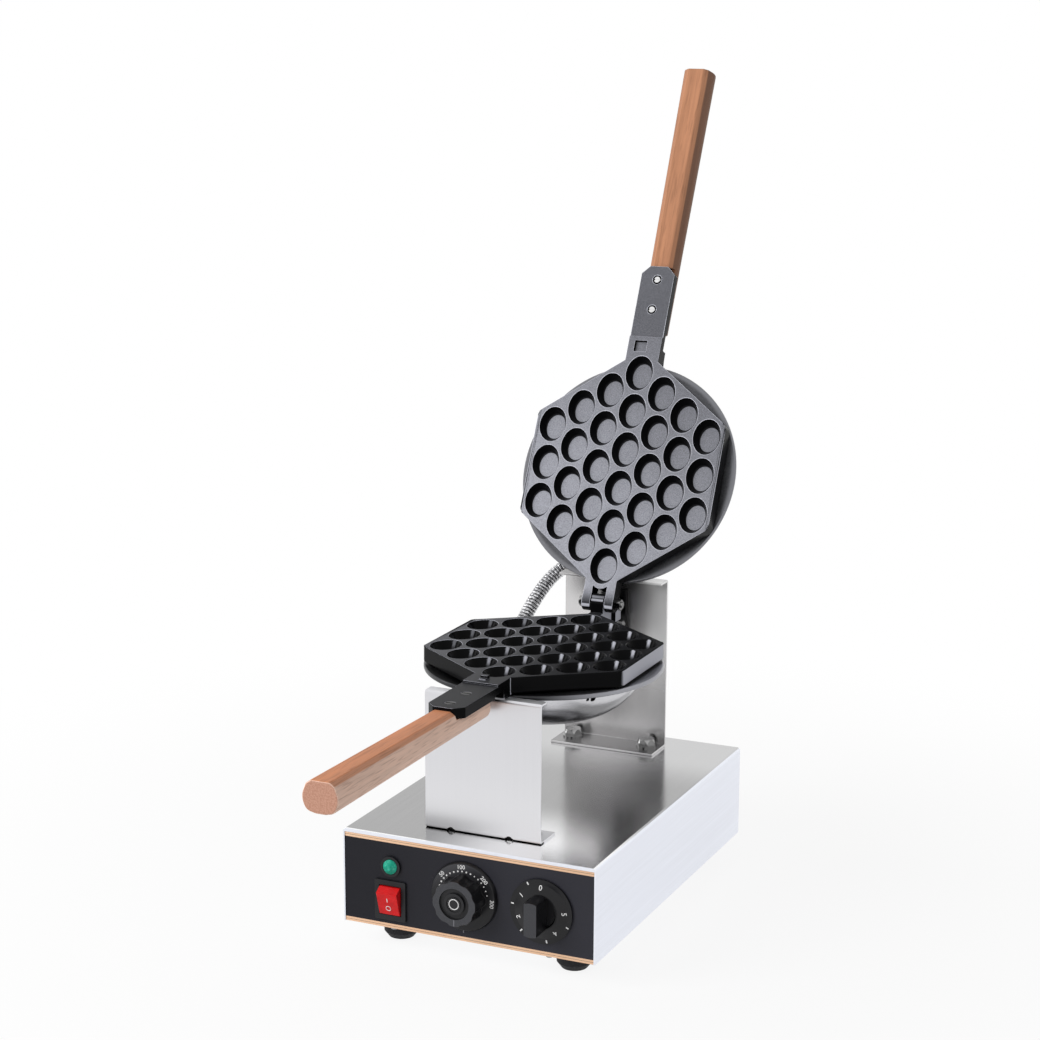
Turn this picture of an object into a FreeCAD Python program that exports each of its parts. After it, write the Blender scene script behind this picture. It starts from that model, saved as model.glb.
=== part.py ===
"""Electric egg-waffle iron, standing with its lid open.

A stainless box with a control panel carries a front and a rear folded bracket.
They hold the lower mould plate, and a lid plate hinges on its rear corner.
Millimetres. X to the right, Y to the back, Z up. The origin lies under the
middle of the machine's outline, on the surface that the feet stand on.
"""
import FreeCAD
import Part
import os
import math

V = FreeCAD.Vector

# box
BASE_W = 200.0
BASE_D = 300.0
BASE_H = 72.0
SHEET = 1.2
COVER_BEND = 2.6
LIP_TOP = 2.8
PANEL_FLANGE = 12.0
FILM_T = 0.5
VENT_L = 34.0
VENT_W = 4.0
VENT_PITCH = 9.0
VENT_COUNT = 6
CASE_SCREW_D = 3.5
CASE_SCREW_HEAD = 7.0
CASE_SCREW_L = 8.0
CASE_SCREW_X = 62.0

# feet
FOOT_H = 18.5
FOOT_TOP_D = 26.0
FOOT_TIP_D = 19.0
FOOT_LIP = 14.0
FOOT_INSET_X = 30.0
FOOT_INSET_Y = 34.0
FOOT_BORE_D = 5.0
FOOT_BORE_H = 12.0
FOOT_SCREW_L = 14.0

# folded brackets
FRONT_W = 92.0
FRONT_T = 1.5
FRONT_INSET = 26.6
FRONT_FLANGE = 26.0
FRONT_TOP_FLANGE = 10.0
NOTCH_DEEP = 2.0
RELIEF_R = 2.8
RELIEF_LEFT = 25.5
RELIEF_RIGHT = 21.0
REAR_W = 88.0
REAR_T = 2.0
REAR_INSET = 24.0
REAR_H = 138.7
REAR_FLANGE = 28.0
BEND_R = 2.2
BOLT_D = 8.0
BOLT_AF = 13.0
BOLT_HEAD = 5.3
BOLT_L = 16.0
BOLT_X = 32.0
FRONT_BOLT_BACK = 13.0
REAR_BOLT_BACK = 10.5
WASHER_T = 1.4
WASHER_D = 16.0

# pair of mould plates
PAN_RISE = 116.5
FACE_GAP = 0.3
HINGE_INSET = 33.0
HINGE_RISE = 6.5
OPEN_DEG = 116.0
NECK_PAST = 0.6
TIP_S = 7.78
PITCH_X_SHARE = 0.6906
SIDE_ROW_COUNT = 3
MID_CUP_COUNT = 6
CUP_S_SHARE = 0.925
CUP_X_SHARE = 0.725
CUP_DEEP = 7.0
FLOOR_SHARE = 0.73
LAND = 3.0
PLATE_T = 12.5
CORNER_R = 8.0
BACK_EDGE = 1.5
SEAT_SHARE = 0.818
SEAT_T = 1.0

# neck, journal and handle
NECK_W = 28.5
NECK_DROP = 1.5
NECK_T = 8.0
NECK_STEP_OUT = 2.5
NECK_L = 63.0
NECK_CHAMFER = 6.5
JOURNAL_BACK = 6.5
JOURNAL_L = 14.5
KEY_BACK = 9.7
KEY_L = 7.0
KEY_W = 6.0
KEY_X = -1.3
KEY_H = 2.8
KEY_STEP_L = 3.3
KEY_STEP_H = 1.1
KEY_FIT = 0.5
KEY_ROOM_W = 10.5
KEY_ROOM_X = -3.25
HANDLE_OUT = 10.5
HANDLE_L = 225.5
HANDLE_NEAR_W = 25.0
WOOD_NEAR_DROP = 3.2
HANDLE_W = 28.0
HANDLE_T = 22.2
HANDLE_FIT = 0.3
WOOD_SHARES = [(0.24, 0.0), (0.38, 0.13), (0.5, 0.52), (0.38, 0.93), (0.12, 1.0)]
WOOD_ROUND_SHARES = [0.08, 0.08, 0.4, 0.24, 0.3]
WOOD_END_R = 1.2
GRIP_SCREW_OUT = 51.5
GRIP_SCREW_PITCH = 25.5
GRIP_SCREW_D = 5.0
GRIP_HEAD_D = 7.5
GRIP_NUT_D = 9.0
GRIP_NUT_T = 4.0
HOLE_FIT = 0.3

# hinge
EAR_R = 7.0
EAR_IN = 5.9
EAR_OUT = 13.3
TONGUE_W = 10.8
HINGE_D = 5.0
HINGE_HEAD_AF = 8.0
HINGE_HEAD_T = 3.5
HINGE_NUT_T = 5.0
HINGE_FIT = 0.08
SLOT_FIT = 0.9

# turning spindle at the rear corner
SPINDLE_D = 10.0
BOSS_R = 7.0
BOSS_GAP = 3.5
BOSS_W = 18.0
BOSS_L = 11.5
BOSS_UP = 6.0
BOSS_DOWN = 12.5
BOSS_EDGE = 2.0
BLOCK_W = 21.0
BLOCK_T = 5.0
BLOCK_UP = 11.0
BLOCK_DOWN = 23.5
BUSH_D = 14.0
BUSH_FLANGE_D = 20.0
BUSH_FLANGE_T = 2.0
SPINDLE_NUT_AF = 17.0
SPINDLE_NUT_T = 8.0
BLOCK_SCREW_D = 5.0
BLOCK_SCREW_HEAD = 9.0
BLOCK_SCREW_X = 6.0
BLOCK_SCREW_DOWN = 17.0
RUN_FIT = 0.1

# heater behind each plate
DISC_PAST = 9.6
DISC_T = 3.5
DISC_EDGE = 1.2
ELEMENT_SHARE = 0.732
ELEMENT_R = 4.0
CLAMP_SHARE = 0.837
CLAMP_T = 2.0
CLAMP_HOLE = 9.0
PAD_SHARE = 0.654
PAD_T = 10.0
HUB_R = 10.0
STUD_D = 8.0
STUD_NUT_AF = 13.0
STUD_NUT_T = 9.0
DISC_SCREW_SHARE = 0.902
DISC_SCREW_D = 5.0
DISC_SCREW_HEAD = 9.0
BOWL_SHARE = 0.8453
BOWL_FLAT_SHARE = 0.392
BOWL_DEEP = 34.5
BOWL_T = 1.0
BOWL_MID_SHARES = (0.863, 0.536)
BOWL_WALL_SHARES = (0.75, 0.66)
PEEP_SIZES = (2.5, 4.2)
PEEP_DOWN = 5.9
PEEP_AT_DEG = -40.6
PEEP_TURN_DEG = 3.4

# controls
LAMP_X = -61.0
LAMP_Z = 48.0
LAMP_D = 12.0
LAMP_RING_D = 15.5
LAMP_RING_T = 1.2
LAMP_DOME = 4.2
LAMP_BODY_L = 24.0
SWITCH_X = -61.3
SWITCH_Z = 22.0
BEZEL_W = 25.0
BEZEL_H = 30.5
BEZEL_T = 1.8
SWITCH_W = 22.0
SWITCH_H = 27.6
SWITCH_L = 24.0
ROCKER_W = 16.6
ROCKER_H = 21.2
ROCKER_FIT = 0.6
ROCKER_DEEP = 9.0
ROCKER_SINK = 1.0
ROCKER_PIN_D = 3.0
ROCKER_RIDGE_SHARE = 0.33
ROCKER_RISE = 6.2
ROCKER_LOW = 0.8
ROCKER_SPAN_DEG = 22.0
THERMO_X = -1.6
THERMO_Z = 35.0
SKIRT_D = 52.5
SKIRT_T = 2.6
GRIP_D = 35.0
GRIP_L = 15.0
GRIP_LOBE_COUNT = 8
GRIP_DIP = 1.5
WELL_D = 23.0
CAP_D = 16.0
CAP_T = 1.6
CAP_HUB_D = 10.6
TIMER_X = 58.8
TIMER_Z = 33.8
TIMER_SKIRT_D = 48.0
TIMER_SKIRT_T = 3.4
TIMER_CUP_D = 27.0
TIMER_BAR_W = 9.6
TIMER_BAR_H = 25.5
TIMER_BAR_L = 20.0
SHAFT_D = 6.0
SHAFT_FLAT = 1.4
KNOB_GAP = 0.6
UNIT_W = 36.0
UNIT_H = 40.0
UNIT_L = 30.0
UNIT_SCREW_D = 4.0
UNIT_SCREW_HEAD = 7.0
UNIT_SCREW_X = 14.0
TERMINAL_W = 58.0
TERMINAL_D = 22.0
TERMINAL_H = 16.0

# glands and the ribbed metal hose
GLAND_D = 19.0
GLAND_H = 12.0
GLAND_BASE_T = 3.0
MAINS_X = 60.0
MAINS_Z = 30.0
MAINS_BORE_D = 9.0
LOW_GLAND_Y = 30.0
LOW_GLAND_X = -40.0
PAN_GLAND_D = 15.0
PAN_GLAND_X = -19.5
HOSE_D = 11.6
HOSE_ROOT_D = 10.2
HOSE_BORE_D = 8.0
RIB_PITCH = 4.7
ELBOW_X = -22.0
ELBOW_SHARE = 0.817
ELBOW_D = 14.0
ELBOW_OUT = 13.0
HOSE_X = -72.0
HOSE_BACK = 31.0
HOSE_POINTS = [(-72.5, -28.0, -79.0), (-75.0, -2.0, -35.0), (-58.8, 53.35, 15.9)]
HOSE_END = (-37.9, 51.35, 16.9)
ARC_SHARE = 0.45

CUT = 2.0
JOIN_GAP = 0.00001

TOP_Z = FOOT_H + BASE_H
MATE_Z = TOP_Z + PAN_RISE
HINGE_Z = MATE_Z + HINGE_RISE
FACE_Z = MATE_Z + FACE_GAP / 2
AXIS_T = HINGE_Z - FACE_Z
FRONT_Y = -BASE_D / 2 + FRONT_INSET
REAR_Y = BASE_D / 2 - REAR_INSET
HINGE_Y = REAR_Y - HINGE_INSET
HOSE_Y = HINGE_Y - HOSE_BACK
HINGE = V(0, HINGE_Y, HINGE_Z)

# distances from the hinge axis along a mould plate, all led by the two brackets
FAR_S = HINGE_Y - FRONT_Y + NECK_PAST
REACH = FAR_S / 2
NECK_STEP_S = FAR_S + NECK_STEP_OUT
NECK_END_S = FAR_S + NECK_L
JOURNAL_S0 = FAR_S - JOURNAL_BACK
JOURNAL_S1 = JOURNAL_S0 + JOURNAL_L
KEY_S0 = FAR_S - KEY_BACK
HANDLE_S0 = FAR_S + HANDLE_OUT
HANDLE_END_S = HANDLE_S0 + HANDLE_L
GRIP_SCREW_S = FAR_S + GRIP_SCREW_OUT

# cup pitch that fills the hexagon from its hinge corner to its far corner
SLOPE = 1 / (2 * PITCH_X_SHARE)
LEAN = math.atan(SLOPE)
HOLD_SHARE = math.hypot(CUP_X_SHARE * math.sin(LEAN), CUP_S_SHARE * math.cos(LEAN)) / 2
PITCH_S = ((REACH - TIP_S - LAND / math.cos(LEAN))
           / ((MID_CUP_COUNT - 1) / 2 + HOLD_SHARE / math.cos(LEAN)))
PITCH_X = PITCH_S * PITCH_X_SHARE
CUP_S = PITCH_S * CUP_S_SHARE
CUP_X = PITCH_S * CUP_X_SHARE
SIDE_X = SIDE_ROW_COUNT * PITCH_X + CUP_X / 2 + LAND
SIDE_S = TIP_S + SLOPE * SIDE_X

# heater sizes follow the plate
DISC_R = SIDE_X + DISC_PAST
SEAT_R = DISC_R * SEAT_SHARE
BOWL_R = DISC_R * BOWL_SHARE
BOWL_FLAT_R = BOWL_R * BOWL_FLAT_SHARE
ELEMENT_RING_R = BOWL_R * ELEMENT_SHARE
CLAMP_R = BOWL_R * CLAMP_SHARE
PAD_R = BOWL_R * PAD_SHARE
DISC_SCREW_R = BOWL_R * DISC_SCREW_SHARE
ELBOW_S = REACH - BOWL_R * ELBOW_SHARE
DISC_T0 = PLATE_T + SEAT_T
DISC_T1 = DISC_T0 + DISC_T
BOWL_END = DISC_T1 + BOWL_DEEP
JOURNAL_R = NECK_W / 2
FRONT_TOP_Z = MATE_Z - JOURNAL_R + NOTCH_DEEP
X1 = V(1, 0, 0)
Y1 = V(0, 1, 0)
Z1 = V(0, 0, 1)


def box(x0, x1, y0, y1, z0, z1):
    return Part.makeBox(x1 - x0, y1 - y0, z1 - z0, V(x0, y0, z0))


def rod(d, p, way, h):
    return Part.makeCylinder(d / 2, h, p, way)


def ring(d, bore, p, way, h):
    return rod(d, p, way, h).cut(rod(bore, p - way * CUT, way, h + 2 * CUT))


def aim(shape, p, way):
    shape.Placement = FreeCAD.Placement(p, FreeCAD.Rotation(Z1, way))
    return shape


def hexagon(af, p, way, h):
    r = af / math.sqrt(3)
    pts = [V(r * math.cos(math.radians(60 * i)), r * math.sin(math.radians(60 * i)), 0)
           for i in range(7)]
    return aim(Part.Face(Part.makePolygon(pts)).extrude(V(0, 0, h)), p, way)


def join(first, *rest):
    out = first
    for item in rest:
        out = out.fuse(item)
    return out.removeSplitter()


def group(items):
    return Part.makeCompound(items)


def rounded(points, radii):
    """Closed wire through the points, each corner eased by its own radius."""
    spots = []
    for i, p in enumerate(points):
        back = (points[i - 1] - p).normalize()
        ahead = (points[(i + 1) % len(points)] - p).normalize()
        if radii[i] <= 0:
            spots.append((p, None, p))
            continue
        half = back.getAngle(ahead) / 2
        run = radii[i] / math.tan(half)
        mid = (back + ahead).normalize()
        centre = p + mid * (radii[i] / math.sin(half))
        spots.append((p + back * run, centre - mid * radii[i], p + ahead * run))
    edges = []
    for i, (a, m, b) in enumerate(spots):
        if m is not None:
            edges.append(Part.Arc(a, m, b).toShape())
        nxt = spots[(i + 1) % len(spots)][0]
        if not nxt.isEqual(b, JOIN_GAP):
            edges.append(Part.LineSegment(b, nxt).toShape())
    return Part.Wire(edges)


def plate_of(points, radii, way):
    return Part.Face(rounded(points, radii)).extrude(way)


def bolt(d, af, head, length, p, way):
    """Hex bolt whose head stands on p and whose shank runs against way."""
    cap = hexagon(af, p, way, head)
    dome = Part.makeCone(af * 0.62, af * 0.5, head, p, way)
    return join(cap.common(dome), rod(d, p - way * length, way, length + head / 2))


def nut(d, af, h, p, way):
    return hexagon(af, p, way, h).cut(rod(d, p - way * CUT, way, h + 2 * CUT))


def pan_screw(d, head, length, p, way):
    dome = Part.makeCone(head / 2, head * 0.35, head * 0.35, p, way)
    return join(dome, rod(d, p - way * length, way, length + head * 0.1))


# the box

def channel_section(w, z0, z1, y, bend, wall):
    """Closed outline of an inverted U: the top and both sides of a folded sheet."""
    x = w / 2
    pts = [V(-x, y, z0), V(-x, y, z1), V(x, y, z1), V(x, y, z0),
           V(x - wall, y, z0), V(x - wall, y, z1 - wall),
           V(-x + wall, y, z1 - wall), V(-x + wall, y, z0)]
    inner = bend - wall
    return pts, [0, bend, bend, 0, 0, inner, inner, 0]


def housing_cover():
    y0 = -BASE_D / 2
    pts, radii = channel_section(BASE_W, FOOT_H, TOP_Z, y0, COVER_BEND, SHEET)
    shell = plate_of(pts, radii, V(0, BASE_D, 0))
    outer = plate_of(pts[:4], radii[:4], V(0, SHEET, 0))
    inner = box(-BASE_W / 2 + SHEET, BASE_W / 2 - SHEET, y0 - CUT, y0 + CUT,
                FOOT_H - CUT, TOP_Z - LIP_TOP)
    lips = outer.cut(inner)
    back = lips.translated(V(0, BASE_D - SHEET, 0))
    body = join(shell, lips, back)
    for x, y in bolt_spots():
        body = body.cut(rod(BOLT_D + HOLE_FIT, V(x, y, TOP_Z - CUT * 2), Z1, CUT * 4))
    for x, y in gland_spots():
        body = body.cut(gland_hole(V(x, y, TOP_Z), Z1, GLAND_D))
    return body


def bolt_spots():
    front = FRONT_Y + FRONT_T + FRONT_BOLT_BACK
    rear = REAR_Y - REAR_BOLT_BACK
    return [(-BOLT_X, front), (BOLT_X, front), (-BOLT_X, rear), (BOLT_X, rear)]


def gland_spots():
    return [(HOSE_X, HOSE_Y), (LOW_GLAND_X, LOW_GLAND_Y)]


def case_screw_spots():
    y = BASE_D / 2 - SHEET - PANEL_FLANGE / 2
    return [(x, end * y) for x in (-CASE_SCREW_X, CASE_SCREW_X) for end in (-1, 1)]


def case_screw_holes():
    return group([rod(CASE_SCREW_D + HOLE_FIT, V(x, y, FOOT_H - CUT), Z1, CUT * 4)
                  for x, y in case_screw_spots()])


def foot_spots():
    x = BASE_W / 2 - FOOT_INSET_X
    y = BASE_D / 2 - FOOT_INSET_Y
    return [(-x, -y), (x, -y), (-x, y), (x, y)]


def bottom_plate():
    """Tray that closes the box from below, its sides turned up inside the cover."""
    x = BASE_W / 2 - SHEET - RUN_FIT
    y = BASE_D / 2 - SHEET * 2 - RUN_FIT * 2
    z1 = FOOT_H + PANEL_FLANGE
    pts = [V(-x, -y, z1), V(-x, -y, FOOT_H), V(x, -y, FOOT_H), V(x, -y, z1),
           V(x - SHEET, -y, z1), V(x - SHEET, -y, FOOT_H + SHEET),
           V(-x + SHEET, -y, FOOT_H + SHEET), V(-x + SHEET, -y, z1)]
    bend = COVER_BEND - SHEET
    tray = plate_of(pts, [0, COVER_BEND, COVER_BEND, 0, 0, bend, bend, 0], V(0, 2 * y, 0))
    cuts = []
    for fx, fy in foot_spots():
        cuts.append(rod(FOOT_BORE_D + HOLE_FIT, V(fx, fy, FOOT_H - CUT), Z1, CUT * 4))
    for i in range(VENT_COUNT):
        vy = (i - (VENT_COUNT - 1) / 2) * VENT_PITCH
        for side in (-1, 1):
            a = side * BASE_W / 5
            cuts.append(box(a - VENT_L / 2, a + VENT_L / 2, vy - VENT_W / 2, vy + VENT_W / 2,
                            FOOT_H - CUT, FOOT_H + CUT * 2))
    return tray.cut(group(cuts)).cut(case_screw_holes())


def panel_sheet(front):
    """Upright panel with a flange turned inwards along its top and bottom."""
    y = -BASE_D / 2 + SHEET if front else BASE_D / 2 - SHEET
    s = 1 if front else -1
    x = BASE_W / 2 - 2 * SHEET - COVER_BEND / 2
    wide = BASE_W / 2 - SHEET - RUN_FIT
    z0 = FOOT_H + SHEET + RUN_FIT
    z1 = TOP_Z - SHEET - RUN_FIT
    pts = [V(-x, y + s * PANEL_FLANGE, z0), V(-x, y, z0), V(-x, y, z1),
           V(-x, y + s * PANEL_FLANGE, z1), V(-x, y + s * PANEL_FLANGE, z1 - SHEET),
           V(-x, y + s * SHEET, z1 - SHEET), V(-x, y + s * SHEET, z0 + SHEET),
           V(-x, y + s * PANEL_FLANGE, z0 + SHEET)]
    bend = COVER_BEND - SHEET
    sheet = plate_of(pts, [0, COVER_BEND, COVER_BEND, 0, 0, bend, bend, 0], V(2 * x, 0, 0))
    y0, y1 = sorted((y, y + s * SHEET))
    face = box(-wide, wide, y0, y1, z0 + COVER_BEND, z1 - COVER_BEND)
    return join(sheet, face).cut(case_screw_holes())


def control_holes(y, deep):
    z = FOOT_H
    cuts = [rod(LAMP_D + HOLE_FIT, V(LAMP_X, y, z + LAMP_Z), Y1, deep)]
    w, h = SWITCH_W / 2 + HOLE_FIT, SWITCH_H / 2 + HOLE_FIT
    cuts.append(box(SWITCH_X - w, SWITCH_X + w, y, y + deep,
                    z + SWITCH_Z - h, z + SWITCH_Z + h))
    for x, dz in ((THERMO_X, THERMO_Z), (TIMER_X, TIMER_Z)):
        cuts.append(rod(SHAFT_D + HOLE_FIT * 8, V(x, y, z + dz), Y1, deep))
        for side in (-1, 1):
            cuts.append(rod(UNIT_SCREW_D + HOLE_FIT, V(x + side * UNIT_SCREW_X, y, z + dz),
                            Y1, deep))
    return group(cuts)


def front_panel():
    y = -BASE_D / 2 + SHEET
    return panel_sheet(True).cut(control_holes(y - CUT, SHEET + 2 * CUT))


def panel_film():
    y = -BASE_D / 2 + SHEET - FILM_T
    x = BASE_W / 2 - SHEET - RUN_FIT
    sheet = box(-x, x, y, y + FILM_T, FOOT_H + SHEET / 4, TOP_Z - LIP_TOP - RUN_FIT)
    z = FOOT_H
    cuts = [control_holes(y - CUT, FILM_T + 2 * CUT)]
    for cx, dz in ((THERMO_X, THERMO_Z), (TIMER_X, TIMER_Z)):
        for side in (-1, 1):
            cuts.append(rod(UNIT_SCREW_HEAD + HOLE_FIT * 2,
                            V(cx + side * UNIT_SCREW_X, y - CUT, z + dz), Y1, 3 * CUT))
    return sheet.cut(group(cuts))


def rear_panel():
    y = BASE_D / 2 - SHEET
    cuts = [gland_hole(V(MAINS_X, y, FOOT_H + MAINS_Z), Y1, GLAND_D)]
    for i in range(VENT_COUNT):
        x = -BASE_W / 4 + (i - (VENT_COUNT - 1) / 2) * VENT_PITCH
        cuts.append(box(x - VENT_W / 2, x + VENT_W / 2, y - CUT * 2, y + CUT,
                        TOP_Z - BASE_H / 2 - VENT_L / 2, TOP_Z - BASE_H / 2 + VENT_L / 2))
    return panel_sheet(False).cut(group(cuts))


def rubber_feet():
    feet = []
    for x, y in foot_spots():
        p = V(x, y, 0)
        tip = Part.makeCone(FOOT_TIP_D / 2, FOOT_TOP_D / 2, FOOT_H - FOOT_LIP, p, Z1)
        lip = rod(FOOT_TOP_D, p + Z1 * (FOOT_H - FOOT_LIP), Z1, FOOT_LIP)
        foot = join(tip, lip)
        bore = rod(FOOT_BORE_D + HOLE_FIT, p + Z1 * (FOOT_H - FOOT_BORE_H), Z1, FOOT_BORE_H + CUT)
        feet.append(foot.cut(bore))
    return group(feet)


def foot_screws():
    out = []
    for x, y in foot_spots():
        out.append(pan_screw(FOOT_BORE_D, FOOT_BORE_D * 2, FOOT_SCREW_L - SHEET,
                             V(x, y, FOOT_H + SHEET), Z1))
    return group(out)


def case_screws():
    return group([pan_screw(CASE_SCREW_D, CASE_SCREW_HEAD, CASE_SCREW_L, V(x, y, FOOT_H), -Z1)
                  for x, y in case_screw_spots()])


# the brackets

def folded(wide, y, t, s, z1, low, top):
    """Upright sheet with a foot flange and a top flange, both turned the same way."""
    x = wide / 2
    z0 = TOP_Z
    pts = [V(-x, y + s * low, z0), V(-x, y, z0), V(-x, y, z1), V(-x, y + s * top, z1),
           V(-x, y + s * top, z1 - t), V(-x, y + s * t, z1 - t),
           V(-x, y + s * t, z0 + t), V(-x, y + s * low, z0 + t)]
    inner = BEND_R - t if BEND_R > t else 0
    return plate_of(pts, [0, BEND_R, BEND_R, 0, 0, inner, inner, 0], V(2 * x, 0, 0))


def front_bracket():
    body = folded(FRONT_W, FRONT_Y, FRONT_T, 1, FRONT_TOP_Z, FRONT_FLANGE, FRONT_TOP_FLANGE)
    cradle = rod((JOURNAL_R + HOLE_FIT) * 2, V(0, FRONT_Y - CUT, MATE_Z), Y1, CUT * 2 + FRONT_T)
    half = NECK_W / 2 + CUT
    clear = box(-half, half, FRONT_Y + FRONT_T, FRONT_Y + FRONT_TOP_FLANGE + CUT,
                FRONT_TOP_Z - FRONT_T * 2, FRONT_TOP_Z + CUT)
    cuts = [cradle, clear]
    for x in (-RELIEF_LEFT, RELIEF_RIGHT):
        cuts.append(rod(RELIEF_R * 2, V(x, FRONT_Y - CUT, TOP_Z), Y1, CUT * 2))
    for x, y in bolt_spots()[:2]:
        cuts.append(rod(BOLT_D + HOLE_FIT, V(x, y, TOP_Z - CUT), Z1, CUT * 3))
    return body.cut(group(cuts))


def stop_depth():
    """Depth of the rear top flange on which the open lid's disc comes to rest."""
    a = math.radians(OPEN_DEG)
    up, back = math.sin(a), -math.cos(a)
    s = REACH - DISC_R
    t = DISC_T1 - AXIS_T
    y = HINGE_Y + s * back + t * up
    z = HINGE_Z + s * up - t * back
    z1 = TOP_Z + REAR_H
    touch = y + (z1 - z) * back / up
    return REAR_Y - touch - HOLE_FIT / up


def rear_bracket():
    body = folded(REAR_W, REAR_Y + REAR_T, REAR_T, -1, TOP_Z + REAR_H,
                  REAR_FLANGE + REAR_T, stop_depth() + REAR_T)
    cuts = [rod(BUSH_D + RUN_FIT, V(0, REAR_Y - CUT, MATE_Z), Y1, CUT * 3)]
    for x, y in bolt_spots()[2:]:
        cuts.append(rod(BOLT_D + HOLE_FIT, V(x, y, TOP_Z - CUT), Z1, CUT * 3))
    for side in (-1, 1):
        cuts.append(rod(BLOCK_SCREW_D + RUN_FIT,
                        V(side * BLOCK_SCREW_X, REAR_Y - CUT, MATE_Z - BLOCK_SCREW_DOWN),
                        Y1, CUT * 3))
    return body.cut(group(cuts))


def bracket_bolts():
    out = []
    for i, (x, y) in enumerate(bolt_spots()):
        t = FRONT_T if i < 2 else REAR_T
        p = V(x, y, TOP_Z + t)
        washer = rod(WASHER_D, p, Z1, WASHER_T)
        out.append(join(washer, bolt(BOLT_D, BOLT_AF, BOLT_HEAD, BOLT_L, p + Z1 * WASHER_T, Z1)))
    return group(out)


def bracket_nuts():
    return group([nut(BOLT_D + RUN_FIT, BOLT_AF, BOLT_AF / 2, V(x, y, TOP_Z - SHEET), -Z1)
                  for x, y in bolt_spots()])


# mould plates, built as the closed lid and then turned or mirrored into place

def at(x, s, t):
    return V(x, HINGE_Y - s, FACE_Z + t)


def opened(shape):
    return shape.rotated(HINGE, X1, -OPEN_DEG)


def lowered(shape):
    return shape.mirror(V(0, 0, MATE_Z), Z1)


def cup_spots():
    spots = []
    for k in range(-SIDE_ROW_COUNT, SIDE_ROW_COUNT + 1):
        n = MID_CUP_COUNT - abs(k)
        for j in range(n):
            spots.append((k * PITCH_X, REACH + (j - (n - 1) / 2) * PITCH_S))
    return spots


def oval(t, share):
    e = Part.Ellipse(at(0, 0, t), CUP_S / 2 * share, CUP_X / 2 * share).toShape()
    return Part.Wire([e.rotate(at(0, 0, t), Z1, 90)])


def cup():
    grow = (1 - FLOOR_SHARE) / CUP_DEEP
    return Part.makeLoft([oval(-CUT, 1 + grow * CUT), oval(CUP_DEEP, FLOOR_SHARE)], True, True)


def mould():
    pts = [at(0, TIP_S, 0), at(SIDE_X, SIDE_S, 0), at(SIDE_X, FAR_S - SIDE_S, 0),
           at(0, FAR_S - TIP_S, 0), at(-SIDE_X, FAR_S - SIDE_S, 0), at(-SIDE_X, SIDE_S, 0)]
    slab = plate_of(pts, [CORNER_R] * 6, V(0, 0, PLATE_T))
    back = [e for e in slab.Edges if e.BoundBox.ZMin > FACE_Z + PLATE_T - HOLE_FIT]
    slab = slab.makeFillet(BACK_EDGE, back)
    seat = rod(2 * SEAT_R, at(0, REACH, PLATE_T - CUT), Z1, SEAT_T + CUT)
    one = cup()
    cups = group([one.translated(V(x, -s, 0)) for x, s in cup_spots()])
    return join(slab, seat, neck()).cut(cups)


def neck():
    s0 = FAR_S - TIP_S - NECK_W / 2 * SLOPE - CORNER_R
    s1 = REACH + DISC_R + HOLE_FIT
    x = NECK_W / 2
    root = box(-x, x, HINGE_Y - JOURNAL_S0, HINGE_Y - s0, FACE_Z, FACE_Z + PLATE_T)
    half = rod(2 * JOURNAL_R, V(0, HINGE_Y - JOURNAL_S1, MATE_Z), Y1, JOURNAL_S1 - s1)
    half = half.common(box(-x, x, HINGE_Y - JOURNAL_S1, HINGE_Y - s1,
                           FACE_Z, FACE_Z + JOURNAL_R))
    bar = box(-x, x, HINGE_Y - NECK_END_S, HINGE_Y - JOURNAL_S1, FACE_Z + NECK_DROP,
              FACE_Z + NECK_DROP + NECK_T)
    bar = join(bar, box(-x, x, HINGE_Y - JOURNAL_S1, HINGE_Y - JOURNAL_S0,
                        FACE_Z, FACE_Z + NECK_DROP + NECK_T).common(
                            box(-x, x, HINGE_Y - JOURNAL_S1, HINGE_Y - JOURNAL_S0,
                                FACE_Z, FACE_Z + JOURNAL_R / 2)))
    step = box(-x, x, HINGE_Y - JOURNAL_S1 - CUT, HINGE_Y - NECK_STEP_S, FACE_Z - CUT,
               FACE_Z + NECK_DROP)
    c = NECK_CHAMFER
    plan = plate_of([at(-x, s0, 0), at(x, s0, 0), at(x, NECK_END_S - c, 0),
                     at(x - c, NECK_END_S, 0), at(c - x, NECK_END_S, 0),
                     at(-x, NECK_END_S - c, 0)], [0] * 6, V(0, 0, JOURNAL_R + CUT))
    body = join(root, half, bar).cut(step).common(plan)
    cuts = []
    for i in range(2):
        p = at(0, GRIP_SCREW_S - i * GRIP_SCREW_PITCH, NECK_DROP)
        cuts.append(rod(GRIP_SCREW_D + HOLE_FIT, p - Z1 * CUT, Z1, NECK_T + 2 * CUT))
        cuts.append(Part.makeCone(GRIP_HEAD_D / 2 + HOLE_FIT, GRIP_SCREW_D / 2 + HOLE_FIT,
                                  GRIP_HEAD_D / 4, p, Z1))
    return body.cut(group(cuts))


def hinge_hole():
    return rod(HINGE_D + 2 * HINGE_FIT, HINGE - X1 * BASE_W / 4, X1, BASE_W / 2)


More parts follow.
